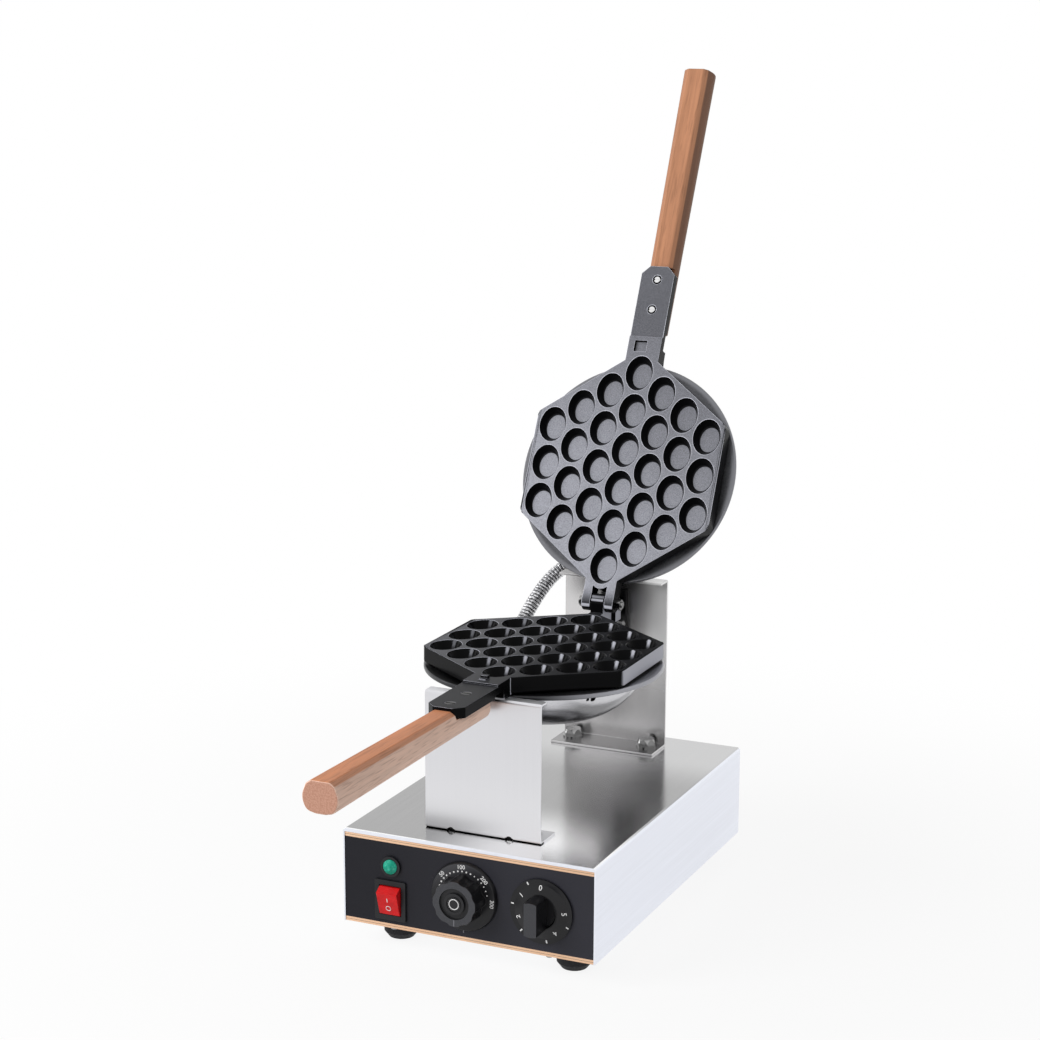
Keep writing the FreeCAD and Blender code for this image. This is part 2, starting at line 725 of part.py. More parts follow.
def lid_plate():
    body = mould()
    arms = []
    for side in (-1, 1):
        x0, x1 = sorted((side * EAR_IN, side * EAR_OUT))
        ear = rod(2 * EAR_R, V(x0, HINGE_Y, HINGE_Z), X1, x1 - x0)
        arm = box(x0, x1, HINGE_Y - TIP_S - EAR_OUT, HINGE_Y, FACE_Z, FACE_Z + PLATE_T)
        arms.append(join(ear, arm))
    body = join(body, *arms)
    slot = rod(2 * (EAR_R + SLOT_FIT), V(-EAR_IN, HINGE_Y, HINGE_Z), X1, 2 * EAR_IN)
    w = KEY_ROOM_W / 2
    key = box(KEY_ROOM_X - w, KEY_ROOM_X + w, HINGE_Y - KEY_S0 - KEY_L - KEY_FIT * 3,
              HINGE_Y - KEY_S0 + KEY_FIT, FACE_Z - CUT, FACE_Z + KEY_H + KEY_FIT)
    return opened(body.cut(group([slot, hinge_hole(), key])))


def boss_start():
    return HINGE_Y + EAR_R + BOSS_GAP


def boss_end():
    return REAR_Y - BLOCK_T - HOLE_FIT


def spindle_start():
    return boss_start() + SHEET


def lower_plate():
    body = lowered(mould())
    w = TONGUE_W / 2
    eye = rod(2 * EAR_R, V(-w, HINGE_Y, HINGE_Z), X1, TONGUE_W)
    post = box(-w, w, HINGE_Y - TIP_S - w, HINGE_Y + EAR_R, MATE_Z - FACE_GAP / 2 - PLATE_T,
               HINGE_Z).cut(box(-w, w, HINGE_Y - TIP_S - w, HINGE_Y - EAR_R,
                                MATE_Z - FACE_GAP / 2, HINGE_Z))
    y0 = boss_start()
    web = box(-w, w, HINGE_Y, y0 + CUT, MATE_Z - FACE_GAP / 2 - PLATE_T,
              MATE_Z - FACE_GAP / 2 - EAR_R / 3)
    z0, z1 = MATE_Z - BOSS_DOWN, MATE_Z + BOSS_UP
    h = BOSS_W / 2
    block = plate_of([V(-h, y0, z0), V(h, y0, z0), V(h, y0, z1), V(-h, y0, z1)],
                     [BOSS_EDGE] * 4, V(0, BOSS_L, 0))
    boss = join(block, rod(2 * BOSS_R, V(0, y0 + BOSS_L, MATE_Z), Y1, boss_end() - y0 - BOSS_L))
    bore = rod(SPINDLE_D, V(0, spindle_start(), MATE_Z), Y1, BASE_D / 4)
    face = MATE_Z - FACE_GAP / 2
    key = box(KEY_X - KEY_W / 2, KEY_X + KEY_W / 2, HINGE_Y - KEY_S0 - KEY_L, HINGE_Y - KEY_S0,
              face - CUT, face + KEY_STEP_H)
    high = box(KEY_X - KEY_W / 2, KEY_X + KEY_W / 2, HINGE_Y - KEY_S0 - KEY_L + KEY_STEP_L,
               HINGE_Y - KEY_S0, face - CUT, face + KEY_H)
    return join(body, eye, post, web, boss, key, high).cut(group([hinge_hole(), bore]))


def hinge_bolt():
    p = V(-EAR_OUT, HINGE_Y, HINGE_Z)
    length = 2 * EAR_OUT + HINGE_NUT_T + SHEET
    return bolt(HINGE_D, HINGE_HEAD_AF, HINGE_HEAD_T, length, p, -X1)


def hinge_nut():
    return nut(HINGE_D + RUN_FIT, HINGE_HEAD_AF, HINGE_NUT_T, V(EAR_OUT, HINGE_Y, HINGE_Z), X1)


# heater behind a plate

def heat_disc():
    p = at(0, REACH, DISC_T0)
    body = rod(2 * DISC_R, p, Z1, DISC_T)
    rims = [e for e in body.Edges if e.BoundBox.ZLength < HOLE_FIT and e.Length > DISC_R]
    body = body.makeFillet(DISC_EDGE, rims)
    hub = rod(2 * HUB_R, at(0, REACH, DISC_T1 - SHEET), Z1, SHEET + 2 * ELEMENT_R)
    cuts = [rod(STUD_D + RUN_FIT, at(0, REACH, DISC_T1), Z1, 3 * ELEMENT_R)]
    for x, s in disc_screw_spots():
        cuts.append(rod(DISC_SCREW_D + HOLE_FIT, at(x, s, PLATE_T), Z1, DISC_T + 2 * CUT))
    return join(body, hub).cut(group(cuts))


def disc_screw_spots():
    out = []
    for i in range(4):
        a = math.radians(45 + 90 * i)
        out.append((DISC_SCREW_R * math.cos(a), REACH + DISC_SCREW_R * math.sin(a)))
    return out


def disc_screws():
    return group([pan_screw(DISC_SCREW_D, DISC_SCREW_HEAD, DISC_T, at(x, s, DISC_T1), Z1)
                  for x, s in disc_screw_spots()])


def element():
    p = at(0, REACH, DISC_T1 + ELEMENT_R + RUN_FIT)
    tube = Part.makeTorus(ELEMENT_RING_R, ELEMENT_R, p, Z1, -180, 180, 330)
    ends = []
    for deg in (0, 330):
        a = math.radians(deg)
        q = p + V(ELEMENT_RING_R * math.cos(a), ELEMENT_RING_R * math.sin(a), 0)
        ends.append(rod(ELEMENT_R, q, V(-math.cos(a), -math.sin(a), 0), ELEMENT_RING_R / 2))
    return join(tube, *ends)


def clamp_plate():
    t = DISC_T1 + 2 * ELEMENT_R + 2 * RUN_FIT
    return ring(2 * CLAMP_R, CLAMP_HOLE, at(0, REACH, t), Z1, CLAMP_T)


def insulation():
    t = DISC_T1 + 2 * ELEMENT_R + 2 * RUN_FIT + CLAMP_T
    return ring(2 * PAD_R, CLAMP_HOLE, at(0, REACH, t), Z1, PAD_T)


def stud():
    return rod(STUD_D, at(0, REACH, DISC_T1), Z1, BOWL_DEEP + BOWL_T + STUD_NUT_T / 2)


def stud_nut():
    t = BOWL_END
    hexa = hexagon(STUD_NUT_AF, at(0, REACH, t), Z1, STUD_NUT_T * 0.6)
    dome = Part.makeSphere(STUD_NUT_AF * 0.45, at(0, REACH, t + STUD_NUT_T * 0.45))
    dome = dome.common(rod(STUD_NUT_AF, at(0, REACH, t + STUD_NUT_T * 0.4), Z1, STUD_NUT_T))
    body = join(hexa, dome)
    return body.cut(stud())


def bowl_profile(inset):
    """Half section of the spun cover, moved inwards by inset."""
    rm, tm = BOWL_MID_SHARES
    wall_r, wall_t = BOWL_WALL_SHARES
    r0 = BOWL_R - inset
    r2 = BOWL_FLAT_R
    t2 = BOWL_END - inset
    mid_r = BOWL_R * rm - inset * wall_r
    mid_t = DISC_T1 + BOWL_DEEP * tm - inset * wall_t
    a, m, b, c = (at(r0, REACH, DISC_T1), at(mid_r, REACH, mid_t), at(r2, REACH, t2),
                  at(0, REACH, t2))
    return a, m, b, c


def bowl_solid(inset):
    a, m, b, c = bowl_profile(inset)
    top = at(0, REACH, DISC_T1)
    edges = [Part.Arc(a, m, b).toShape(), Part.LineSegment(b, c).toShape(),
             Part.LineSegment(c, top).toShape(), Part.LineSegment(top, a).toShape()]
    return Part.Face(Part.Wire(edges)).revolve(at(0, REACH, 0), Z1, 360)


def bowl():
    shell = bowl_solid(0).cut(bowl_solid(BOWL_T))
    return shell.cut(rod(STUD_D + HOLE_FIT, at(0, REACH, BOWL_END - CUT * 2), Z1, CUT * 4))


def low_bowl():
    """Cover of the lower pan: two small holes near the rim and its gland's hole."""
    out = [gland_hole(at(PAN_GLAND_X, REACH, BOWL_END), Z1, PAN_GLAND_D)]
    for i, d in enumerate(PEEP_SIZES):
        a = math.radians(PEEP_AT_DEG + i * PEEP_TURN_DEG)
        way = V(math.cos(a), math.sin(a), 0)
        p = at(0, REACH, DISC_T1 + PEEP_DOWN) + way * (BOWL_R * 0.8)
        out.append(rod(d, p, way, BOWL_R * 0.3))
    return bowl().cut(group(out))


# handle

def wood_section(s, w, drop):
    pts = []
    radii = []
    for (sx, sz), r in zip(WOOD_SHARES, WOOD_ROUND_SHARES):
        pts.append(at(sx * w, s, NECK_DROP + drop + sz * (HANDLE_T - drop)))
        radii.append(r * w)
    pts += [V(-p.x, p.y, p.z) for p in reversed(pts)]
    radii += list(reversed(radii))
    return rounded(pts, radii)


def handle():
    w = HANDLE_W
    body = Part.makeLoft([wood_section(HANDLE_S0, HANDLE_NEAR_W, WOOD_NEAR_DROP),
                          wood_section(HANDLE_END_S, w, 0)], True, True)
    rims = [e for e in body.Edges if e.BoundBox.YMax < HINGE_Y - HANDLE_END_S + HOLE_FIT]
    body = body.makeFillet(WOOD_END_R, rims)
    rebate = box(-w, w, HINGE_Y - NECK_END_S - HANDLE_FIT, HINGE_Y - HANDLE_S0 + CUT,
                 FACE_Z - CUT, FACE_Z + NECK_DROP + NECK_T)
    cuts = [rebate]
    bottom = NECK_DROP + HANDLE_T
    for i in range(2):
        p = at(0, GRIP_SCREW_S - i * GRIP_SCREW_PITCH, 0)
        cuts.append(rod(GRIP_SCREW_D + HOLE_FIT, p, Z1, bottom + CUT))
        cuts.append(rod(GRIP_NUT_D + HOLE_FIT, p + Z1 * (bottom - GRIP_NUT_T), Z1,
                        GRIP_NUT_T + CUT))
    return body.cut(group(cuts))


def handle_screws():
    out = []
    for i in range(2):
        p = at(0, GRIP_SCREW_S - i * GRIP_SCREW_PITCH, NECK_DROP + RUN_FIT)
        head = Part.makeCone(GRIP_HEAD_D / 2, GRIP_SCREW_D / 2, GRIP_HEAD_D / 4, p, Z1)
        slot = box(-GRIP_HEAD_D, GRIP_HEAD_D, p.y - SHEET / 2, p.y + SHEET / 2,
                   p.z - CUT, p.z + SHEET)
        shank = rod(GRIP_SCREW_D, p, Z1, HANDLE_T - RUN_FIT - HOLE_FIT)
        sleeve = ring(GRIP_NUT_D, GRIP_SCREW_D, p + Z1 * (HANDLE_T - GRIP_NUT_T), Z1,
                      GRIP_NUT_T - HOLE_FIT)
        out.append(join(head, shank, sleeve).cut(slot))
    return group(out)


# spindle at the rear

def spindle_block():
    body = box(-BLOCK_W / 2, BLOCK_W / 2, REAR_Y - BLOCK_T, REAR_Y, MATE_Z - BLOCK_DOWN,
               MATE_Z + BLOCK_UP)
    cuts = [rod(BUSH_D + RUN_FIT, V(0, REAR_Y - BLOCK_T - CUT, MATE_Z), Y1, BLOCK_T + 2 * CUT)]
    for side in (-1, 1):
        cuts.append(rod(BLOCK_SCREW_D + RUN_FIT,
                        V(side * BLOCK_SCREW_X, REAR_Y - BLOCK_T - CUT,
                          MATE_Z - BLOCK_SCREW_DOWN), Y1, BLOCK_T + 2 * CUT))
    return body.cut(group(cuts))


def spindle_bush():
    p = V(0, REAR_Y - BLOCK_T, MATE_Z)
    sleeve = rod(BUSH_D, p, Y1, BLOCK_T + REAR_T)
    flange = rod(BUSH_FLANGE_D, V(0, REAR_Y + REAR_T, MATE_Z), Y1, BUSH_FLANGE_T)
    bore = rod(SPINDLE_D + RUN_FIT, p - Y1 * CUT, Y1, BASE_D / 4)
    return join(sleeve, flange).cut(bore)


def spindle_end():
    return REAR_Y + REAR_T + BUSH_FLANGE_T + SPINDLE_NUT_T


def spindle():
    y0 = spindle_start()
    return rod(SPINDLE_D, V(0, y0, MATE_Z), Y1, spindle_end() + HOLE_FIT * 4 - y0)


def spindle_nut():
    p = V(0, REAR_Y + REAR_T + BUSH_FLANGE_T + RUN_FIT, MATE_Z)
    return nut(SPINDLE_D + RUN_FIT, SPINDLE_NUT_AF, SPINDLE_NUT_T, p, Y1)


def spindle_block_screws():
    out = []
    for side in (-1, 1):
        p = V(side * BLOCK_SCREW_X, REAR_Y - BLOCK_T, MATE_Z - BLOCK_SCREW_DOWN)
        out.append(pan_screw(BLOCK_SCREW_D, BLOCK_SCREW_HEAD, BLOCK_T + REAR_T + BOLT_HEAD, p, -Y1))
        out.append(nut(BLOCK_SCREW_D + RUN_FIT, BLOCK_SCREW_HEAD, BLOCK_SCREW_D,
                       V(p.x, REAR_Y + REAR_T, p.z), Y1))
    return group(out)


# controls

def face_y():
    return -BASE_D / 2 + SHEET - FILM_T


def lamp_lens():
    p = V(LAMP_X, face_y() - LAMP_RING_T, FOOT_H + LAMP_Z)
    base = rod(LAMP_D - SHEET, p, -Y1, LAMP_DOME / 4)
    dome = Part.makeCone(LAMP_D / 2 - SHEET / 2, LAMP_D / 6, LAMP_DOME * 0.75,
                         p - Y1 * LAMP_DOME / 4, -Y1)
    return join(base, dome)


def lamp_body():
    p = V(LAMP_X, face_y(), FOOT_H + LAMP_Z)
    collar = rod(LAMP_RING_D, p, -Y1, LAMP_RING_T)
    lip = ring(LAMP_RING_D, LAMP_D, p - Y1 * LAMP_RING_T, -Y1, LAMP_RING_T / 2)
    body = rod(LAMP_D, p, Y1, LAMP_BODY_L)
    return join(collar, lip, body)


def switch_body():
    y = face_y()
    z = FOOT_H + SWITCH_Z
    x = SWITCH_X
    w, h = BEZEL_W / 2, BEZEL_H / 2
    pts = [V(x - w, y, z - h), V(x + w, y, z - h), V(x + w, y, z + h), V(x - w, y, z + h)]
    bezel = plate_of(pts, [SHEET] * 4, V(0, -BEZEL_T, 0))
    body = box(x - SWITCH_W / 2, x + SWITCH_W / 2, y, y + SWITCH_L,
               z - SWITCH_H / 2, z + SWITCH_H / 2)
    w2, h2 = ROCKER_W / 2 + ROCKER_FIT, ROCKER_H / 2 + ROCKER_FIT
    well = box(x - w2, x + w2, y - BEZEL_T - CUT, y + ROCKER_DEEP + CUT, z - h2, z + h2)
    tabs = [box(x - SHAFT_D / 2, x + SHAFT_D / 2, y + SWITCH_L, y + SWITCH_L + SHAFT_D,
                z + k * SWITCH_H / 4, z + k * SWITCH_H / 4 + SHEET) for k in (-1, 0, 1)]
    return join(join(bezel, body).cut(group([well, rocker_pin(RUN_FIT)])), *tabs)


def rocker_axis():
    return V(SWITCH_X, face_y() + ROCKER_SINK, FOOT_H + SWITCH_Z)


def rocker_pin(fit):
    half = ROCKER_W / 2 + ROCKER_FIT + SHEET + fit
    return rod(ROCKER_PIN_D + fit, rocker_axis() - X1 * half, X1, 2 * half)


def rocker():
    """Wedge-faced rocker, pressed in at its lower end, as it stands when off."""
    c = rocker_axis()
    y = face_y() - BEZEL_T
    h = ROCKER_H / 2
    x = SWITCH_X - ROCKER_W / 2
    ridge = c.z + h - ROCKER_RIDGE_SHARE * ROCKER_H / 2
    deep = c.y + ROCKER_DEEP / 3
    pts = [V(x, y - ROCKER_LOW, c.z + h), V(x, y - ROCKER_RISE, ridge),
           V(x, y - ROCKER_LOW, c.z - h), V(x, c.y, c.z - h),
           V(x, deep, c.z - h / 2), V(x, deep, c.z + h / 2), V(x, c.y, c.z + h)]
    wedge = plate_of(pts, [SHEET / 2, SHEET / 2, SHEET / 2, 0, 0, 0, 0], V(ROCKER_W, 0, 0))
    return join(wedge, rocker_pin(0))


def thermo_face():
    return face_y() - KNOB_GAP - SKIRT_T


def thermostat_knob():
    p = V(THERMO_X, face_y() - KNOB_GAP, FOOT_H + THERMO_Z)
    skirt = Part.makeCone(SKIRT_D / 2, SKIRT_D / 2 - SKIRT_T / 2, SKIRT_T, p, -Y1)
    top = p - Y1 * SKIRT_T
    grip = Part.makeCone(GRIP_D / 2 + SHEET / 2, GRIP_D / 2 - SHEET / 2, GRIP_L, top, -Y1)
    dips = []
    for i in range(GRIP_LOBE_COUNT):
        a = 2 * math.pi * (i + 0.5) / GRIP_LOBE_COUNT
        r = GRIP_D / 2 + GRIP_D / 4 - GRIP_DIP
        q = top + V(r * math.cos(a), 0, r * math.sin(a))
        dips.append(rod(GRIP_D / 2, q, -Y1, GRIP_L + CUT))
    grip = grip.cut(group(dips))
    tip = top - Y1 * GRIP_L
    well = rod(WELL_D, tip + Y1 * CAP_T, -Y1, CAP_T + CUT)
    bore = flatted(p.x, THERMO_Z, p.y - GRIP_L, GRIP_L + CUT, RUN_FIT)
    return join(skirt, grip).cut(group([well, bore]))


def knob_cap():
    tip = V(THERMO_X, thermo_face() - GRIP_L, FOOT_H + THERMO_Z)
    disc = rod(CAP_D, tip + Y1 * CAP_T, -Y1, CAP_T)
    dish = rod(CAP_HUB_D + SHEET, tip + Y1 * CAP_T / 3, -Y1, CUT)
    hub = rod(CAP_HUB_D, tip + Y1 * CAP_T, -Y1, CAP_T)
    return join(disc.cut(dish), hub)


def flatted(x, dz, y0, length, fit):
    """Round bar with a flat along its top, as a knob's shaft has, or its bore."""
    bar = rod(SHAFT_D + fit, V(x, y0, FOOT_H + dz), Y1, length)
    z = FOOT_H + dz + SHAFT_D / 2 - SHAFT_FLAT + fit / 2
    return bar.cut(box(x - SHAFT_D, x + SHAFT_D, y0 - CUT, y0 + length + CUT, z, z + SHAFT_D))


def shaft(x, dz, length):
    y0 = face_y() - KNOB_GAP
    grip = flatted(x, dz, y0 - length, length, 0)
    return join(grip, rod(SHAFT_D, V(x, y0, FOOT_H + dz), Y1, unit_y() + SHAFT_D / 2 - y0))


def unit_y():
    return -BASE_D / 2 + 2 * SHEET


def control_unit(x, dz, wide, tall, long):
    y = unit_y()
    z = FOOT_H + dz
    can = box(x - wide / 2, x + wide / 2, y + SHEET, y + long, z - tall / 2, z + tall / 2)
    lug = box(x - UNIT_SCREW_X - UNIT_SCREW_D, x + UNIT_SCREW_X + UNIT_SCREW_D, y, y + SHEET,
              z - tall / 4, z + tall / 4)
    cuts = [rod(SHAFT_D + RUN_FIT, V(x, y - CUT, z), Y1, SHAFT_D + CUT)]
    for side in (-1, 1):
        cuts.append(rod(UNIT_SCREW_D, V(x + side * UNIT_SCREW_X, y - CUT, z), Y1,
                        CUT + SHEET * 4))
    return join(can, lug).cut(group(cuts))


def control_screws():
    out = []
    for x, dz in ((THERMO_X, THERMO_Z), (TIMER_X, TIMER_Z)):
        for side in (-1, 1):
            p = V(x + side * UNIT_SCREW_X, -BASE_D / 2 + SHEET, FOOT_H + dz)
            head = rod(UNIT_SCREW_HEAD, p, -Y1, FILM_T)
            out.append(join(head, rod(UNIT_SCREW_D - RUN_FIT, p, Y1, SHEET * 4)))
    return group(out)


def timer_knob():
    p = V(TIMER_X, face_y() - KNOB_GAP, FOOT_H + TIMER_Z)
    r0, r1 = TIMER_SKIRT_D / 2, TIMER_CUP_D / 2
    skirt = Part.makeCone(r0, r1, TIMER_SKIRT_T, p, -Y1)
    rim = rod(TIMER_SKIRT_D, p, -Y1, SHEET)
    cup_hole = Part.makeCone(r1 - SHEET * 2, r1 - SHEET / 2, TIMER_SKIRT_T - SHEET + CUT / 2,
                             p - Y1 * SHEET, -Y1)
    w, h = TIMER_BAR_W / 2, TIMER_BAR_H / 2
    y = p.y - TIMER_BAR_L
    pts = [V(p.x - w, y, p.z - h), V(p.x + w, y, p.z - h), V(p.x + w, y, p.z + h),
           V(p.x - w, y, p.z + h)]
    bar = plate_of(pts, [SHEET] * 4, V(0, TIMER_BAR_L, 0))
    bar = bar.common(rod(TIMER_BAR_H, V(p.x, y, p.z), Y1, TIMER_BAR_L))
    bore = flatted(p.x, TIMER_Z, p.y - TIMER_BAR_L * 0.75, TIMER_BAR_L, RUN_FIT)
    return join(join(skirt, rim).cut(cup_hole), bar).cut(bore)


def terminal_block():
    z = FOOT_H + SHEET
    y = BASE_D / 2 - PANEL_FLANGE * 4
    body = box(-TERMINAL_W / 2, TERMINAL_W / 2, y - TERMINAL_D / 2, y + TERMINAL_D / 2,
               z, z + TERMINAL_H)
    cuts = []
    for i in range(4):
        x = (i - 1.5) * TERMINAL_W / 4.5
        cuts.append(rod(TERMINAL_D / 4, V(x, y - TERMINAL_D, z + TERMINAL_H / 2), Y1,
                        2 * TERMINAL_D))
        for side in (-1, 1):
            cuts.append(rod(TERMINAL_D / 5, V(x, y + side * TERMINAL_D / 4, z + TERMINAL_H / 2),
                            Z1, TERMINAL_H))
    return body.cut(group(cuts))


# glands and hose

def gland(p, way, bore, wide):
    foot = rod(wide * 1.25, p, way, GLAND_BASE_T)
    hexa = hexagon(wide, p + way * GLAND_BASE_T, way, GLAND_H - GLAND_BASE_T)
    crown = Part.makeCone(wide * 0.56, wide / 2, GLAND_H - GLAND_BASE_T,
                          p + way * GLAND_BASE_T, way)
    tail = rod(thread(wide), p - way * GLAND_BASE_T * 2, way, GLAND_BASE_T * 2 + CUT)
    body = join(foot, hexa.common(crown), tail)
    return body.cut(rod(bore, p - way * GLAND_H, way, 3 * GLAND_H))


def thread(wide):
    return wide * 0.86


def mains_gland():
    return gland(V(MAINS_X, BASE_D / 2 - SHEET, FOOT_H + MAINS_Z), Y1, MAINS_BORE_D, GLAND_D)


def top_glands():
    return group([gland(V(x, y, TOP_Z), Z1, HOSE_BORE_D, GLAND_D) for x, y in gland_spots()])


def pan_gland():
    return gland(at(PAN_GLAND_X, REACH, BOWL_END), Z1, HOSE_BORE_D, PAN_GLAND_D)


def gland_hole(p, way, wide):
    return rod(thread(wide) + HOLE_FIT, p - way * CUT * 2, way, CUT * 4)


def hose_route():
    pts = [V(HOSE_X, HOSE_Y, TOP_Z + GLAND_H)]
    pts += [HINGE + V(*p) for p in HOSE_POINTS]
    pts.append(HINGE + V(*HOSE_END))
    return pts


def route_pieces(pts):
    """Straight runs and tangent arcs through the points."""
    parts = []
    here = pts[0]
    for i in range(1, len(pts) - 1):
        back = pts[i - 1] - pts[i]
        ahead = pts[i + 1] - pts[i]
        run = ARC_SHARE * min(back.Length, ahead.Length)
        turn = math.pi - back.getAngle(ahead)
        r = run / math.tan(turn / 2)
        print("hose bend %d: radius %.1f" % (i, r))
        a = pts[i] + V(back).normalize() * run
        b = pts[i] + V(ahead).normalize() * run
        mid = (V(back).normalize() + V(ahead).normalize()).normalize()
        c = pts[i] + mid * math.hypot(r, run)
        m = c - mid * r
        parts.append(("line", here, a))
        parts.append(("arc", a, m, b, c, r, turn))
        here = b
    parts.append(("line", here, pts[-1]))
    return parts


def route_point(parts, d):
    """Point and heading at distance d along the route."""
    for item in parts:
        if item[0] == "line":
            n = (item[2] - item[1]).Length
            if d <= n or item is parts[-1]:
                way = (item[2] - item[1]).normalize()
                return item[1] + way * d, way
        else:
            a, b, c, r, turn = item[1], item[3], item[4], item[5], item[6]
            n = r * turn
            if d <= n:
                u = (a - c).normalize()
                axis = u.cross(b - c).normalize()
                rot = FreeCAD.Rotation(axis, math.degrees(d / r))
                return c + rot.multVec(u) * r, axis.cross(rot.multVec(u))
        d -= n
    return parts[-1][2], (parts[-1][2] - parts[-1][1]).normalize()


def route_length(parts):
    total = 0
    for item in parts:
        total += (item[2] - item[1]).Length if item[0] == "line" else item[5] * item[6]
    return total


def circle_at(p, way, r):
    """Circle whose seam keeps to a steady side of the route."""
    side = (X1 - way * X1.dot(way)).normalize()
    c = Part.Circle(p, way, r)
    spin = FreeCAD.Rotation(c.XAxis, side)
    edge = c.toShape()
    edge.Placement = FreeCAD.Placement(p - spin.multVec(p), spin).multiply(edge.Placement)
    return Part.Wire([edge])


def lid_hose():
    """Ribbed flexible hose: straight plain ends, evenly pitched ribs between."""
    parts = route_pieces(hose_route())
    total = route_length(parts)
    count = int((total - 2 * HOSE_D) / RIB_PITCH)
    pitch = (total - 2 * HOSE_D) / count
    stations = [(0, HOSE_ROOT_D / 2)]
    for i in range(count):
        d = HOSE_D + i * pitch
        stations.append((d, HOSE_ROOT_D / 2))
        stations.append((d + 0.22 * pitch, HOSE_D / 2))
        stations.append((d + 0.70 * pitch, HOSE_D / 2))
        stations.append((d + 0.92 * pitch, HOSE_ROOT_D / 2))
    stations.append((total, HOSE_ROOT_D / 2))
    rings = [circle_at(*route_point(parts, d), r) for d, r in stations]
    body = Part.makeLoft(rings, True, True)
    edges = []
    for item in parts:
        if item[0] == "line":
            edges.append(Part.LineSegment(item[1], item[2]).toShape())
        else:
            edges.append(Part.Arc(item[1], item[2], item[3]).toShape())
    spine = Part.Wire(edges)
    p, way = route_point(parts, 0)
    bore = spine.makePipeShell([circle_at(p, way, HOSE_BORE_D / 2)], True, False)
    print("hose length %.1f, ribs %d, bore %.4f of its section times length" %
          (total, count, bore.Volume / (math.pi * HOSE_BORE_D ** 2 / 4 * total)))
    return body.cut(bore)


def elbow_frame():
    """Foot of the elbow on the open lid's cover."""
    a, m, b, c = bowl_profile(0)
    r = math.hypot(ELBOW_X, REACH - ELBOW_S)
    arc = Part.Arc(a, m, b).toShape()
    probe = Part.LineSegment(at(r, REACH, DISC_T1), at(r, REACH, BOWL_END + CUT)).toShape()
    t = arc.distToShape(probe)[1][0][0].z - FACE_Z
    foot = at(ELBOW_X, ELBOW_S, t)
    turn = FreeCAD.Rotation(X1, -OPEN_DEG)
    return HINGE + turn.multVec(foot - HINGE)


def lid_elbow():
    foot = elbow_frame()
    end = hose_route()[-1]
    way = (hose_route()[-2] - end).normalize()
    corner = end - way * ELBOW_OUT
    leg = corner - foot
    way_up = V(leg).normalize()
    post = rod(ELBOW_D * 0.8, foot - way_up * ELBOW_D, way_up, leg.Length + ELBOW_D)
    post = post.cut(opened(bowl_solid(0)))
    ball = Part.makeSphere(ELBOW_D / 2, corner)
    arm = rod(ELBOW_D, corner, way, ELBOW_OUT)
    collar = hexagon(ELBOW_D + SHEET * 2, end - way * ELBOW_OUT * 0.55, way, ELBOW_OUT * 0.4)
    bore = rod(HOSE_BORE_D, end + way * CUT, -way, ELBOW_OUT * 0.7)
    return join(post, ball, arm, collar).cut(bore)


def build():
    lid = {
        "lid_plate": lid_plate(),
        "lid_heat_disc": opened(heat_disc()),
        "lid_disc_screws": opened(disc_screws()),
        "lid_element": opened(element()),
        "lid_clamp_plate": opened(clamp_plate()),
        "lid_insulation": opened(insulation()),
        "lid_cover": opened(bowl()),
        "lid_cover_stud": opened(stud()),
        "lid_cover_nut": opened(stud_nut()),
        "lid_handle": opened(handle()),
        "lid_handle_screws": opened(handle_screws()),
        "lid_elbow": lid_elbow(),
    }
    low = {
        "lower_plate": lower_plate(),
        "lower_heat_disc": lowered(heat_disc()),
        "lower_disc_screws": lowered(disc_screws()),
        "lower_element": lowered(element()),
        "lower_clamp_plate": lowered(clamp_plate()),
        "lower_insulation": lowered(insulation()),
        "lower_cover": lowered(low_bowl()),
        "lower_gland": lowered(pan_gland()),
        "lower_cover_stud": lowered(stud()),
        "lower_cover_nut": lowered(stud_nut()),
        "lower_handle": lowered(handle()),
        "lower_handle_screws": lowered(handle_screws()),
        "hinge_bolt": hinge_bolt(),
        "hinge_nut": hinge_nut(),
        "spindle": spindle(),
        "spindle_bush": spindle_bush(),
        "spindle_block": spindle_block(),
        "spindle_block_screws": spindle_block_screws(),
        "spindle_nut": spindle_nut(),
    }
    base = {
        "housing_cover": housing_cover(),
        "bottom_plate": bottom_plate(),
        "front_panel": front_panel(),
        "panel_film": panel_film(),
        "rear_panel": rear_panel(),
        "rubber_feet": rubber_feet(),
        "foot_screws": foot_screws(),
        "case_screws": case_screws(),
        "front_bracket": front_bracket(),
        "rear_bracket": rear_bracket(),
        "bracket_bolts": bracket_bolts(),
        "bracket_nuts": bracket_nuts(),
        "lamp_lens": lamp_lens(),
        "lamp_body": lamp_body(),
        "switch_body": switch_body(),
        "rocker": rocker(),
        "thermostat_body": control_unit(THERMO_X, THERMO_Z, UNIT_W, UNIT_H, UNIT_L),
        "thermostat_knob": thermostat_knob(),
        "thermostat_shaft": shaft(THERMO_X, THERMO_Z, GRIP_L * 0.8),
        "knob_cap": knob_cap(),
        "timer_body": control_unit(TIMER_X, TIMER_Z, UNIT_W, UNIT_H, UNIT_L * 1.2),
        "timer_knob": timer_knob(),
        "timer_shaft": shaft(TIMER_X, TIMER_Z, TIMER_BAR_L * 0.7),
        "control_screws": control_screws(),
        "terminal_block": terminal_block(),
        "mains_gland": mains_gland(),
        "top_glands": top_glands(),
        "lid_hose": lid_hose(),
    }
    return {**base, **low, **lid}


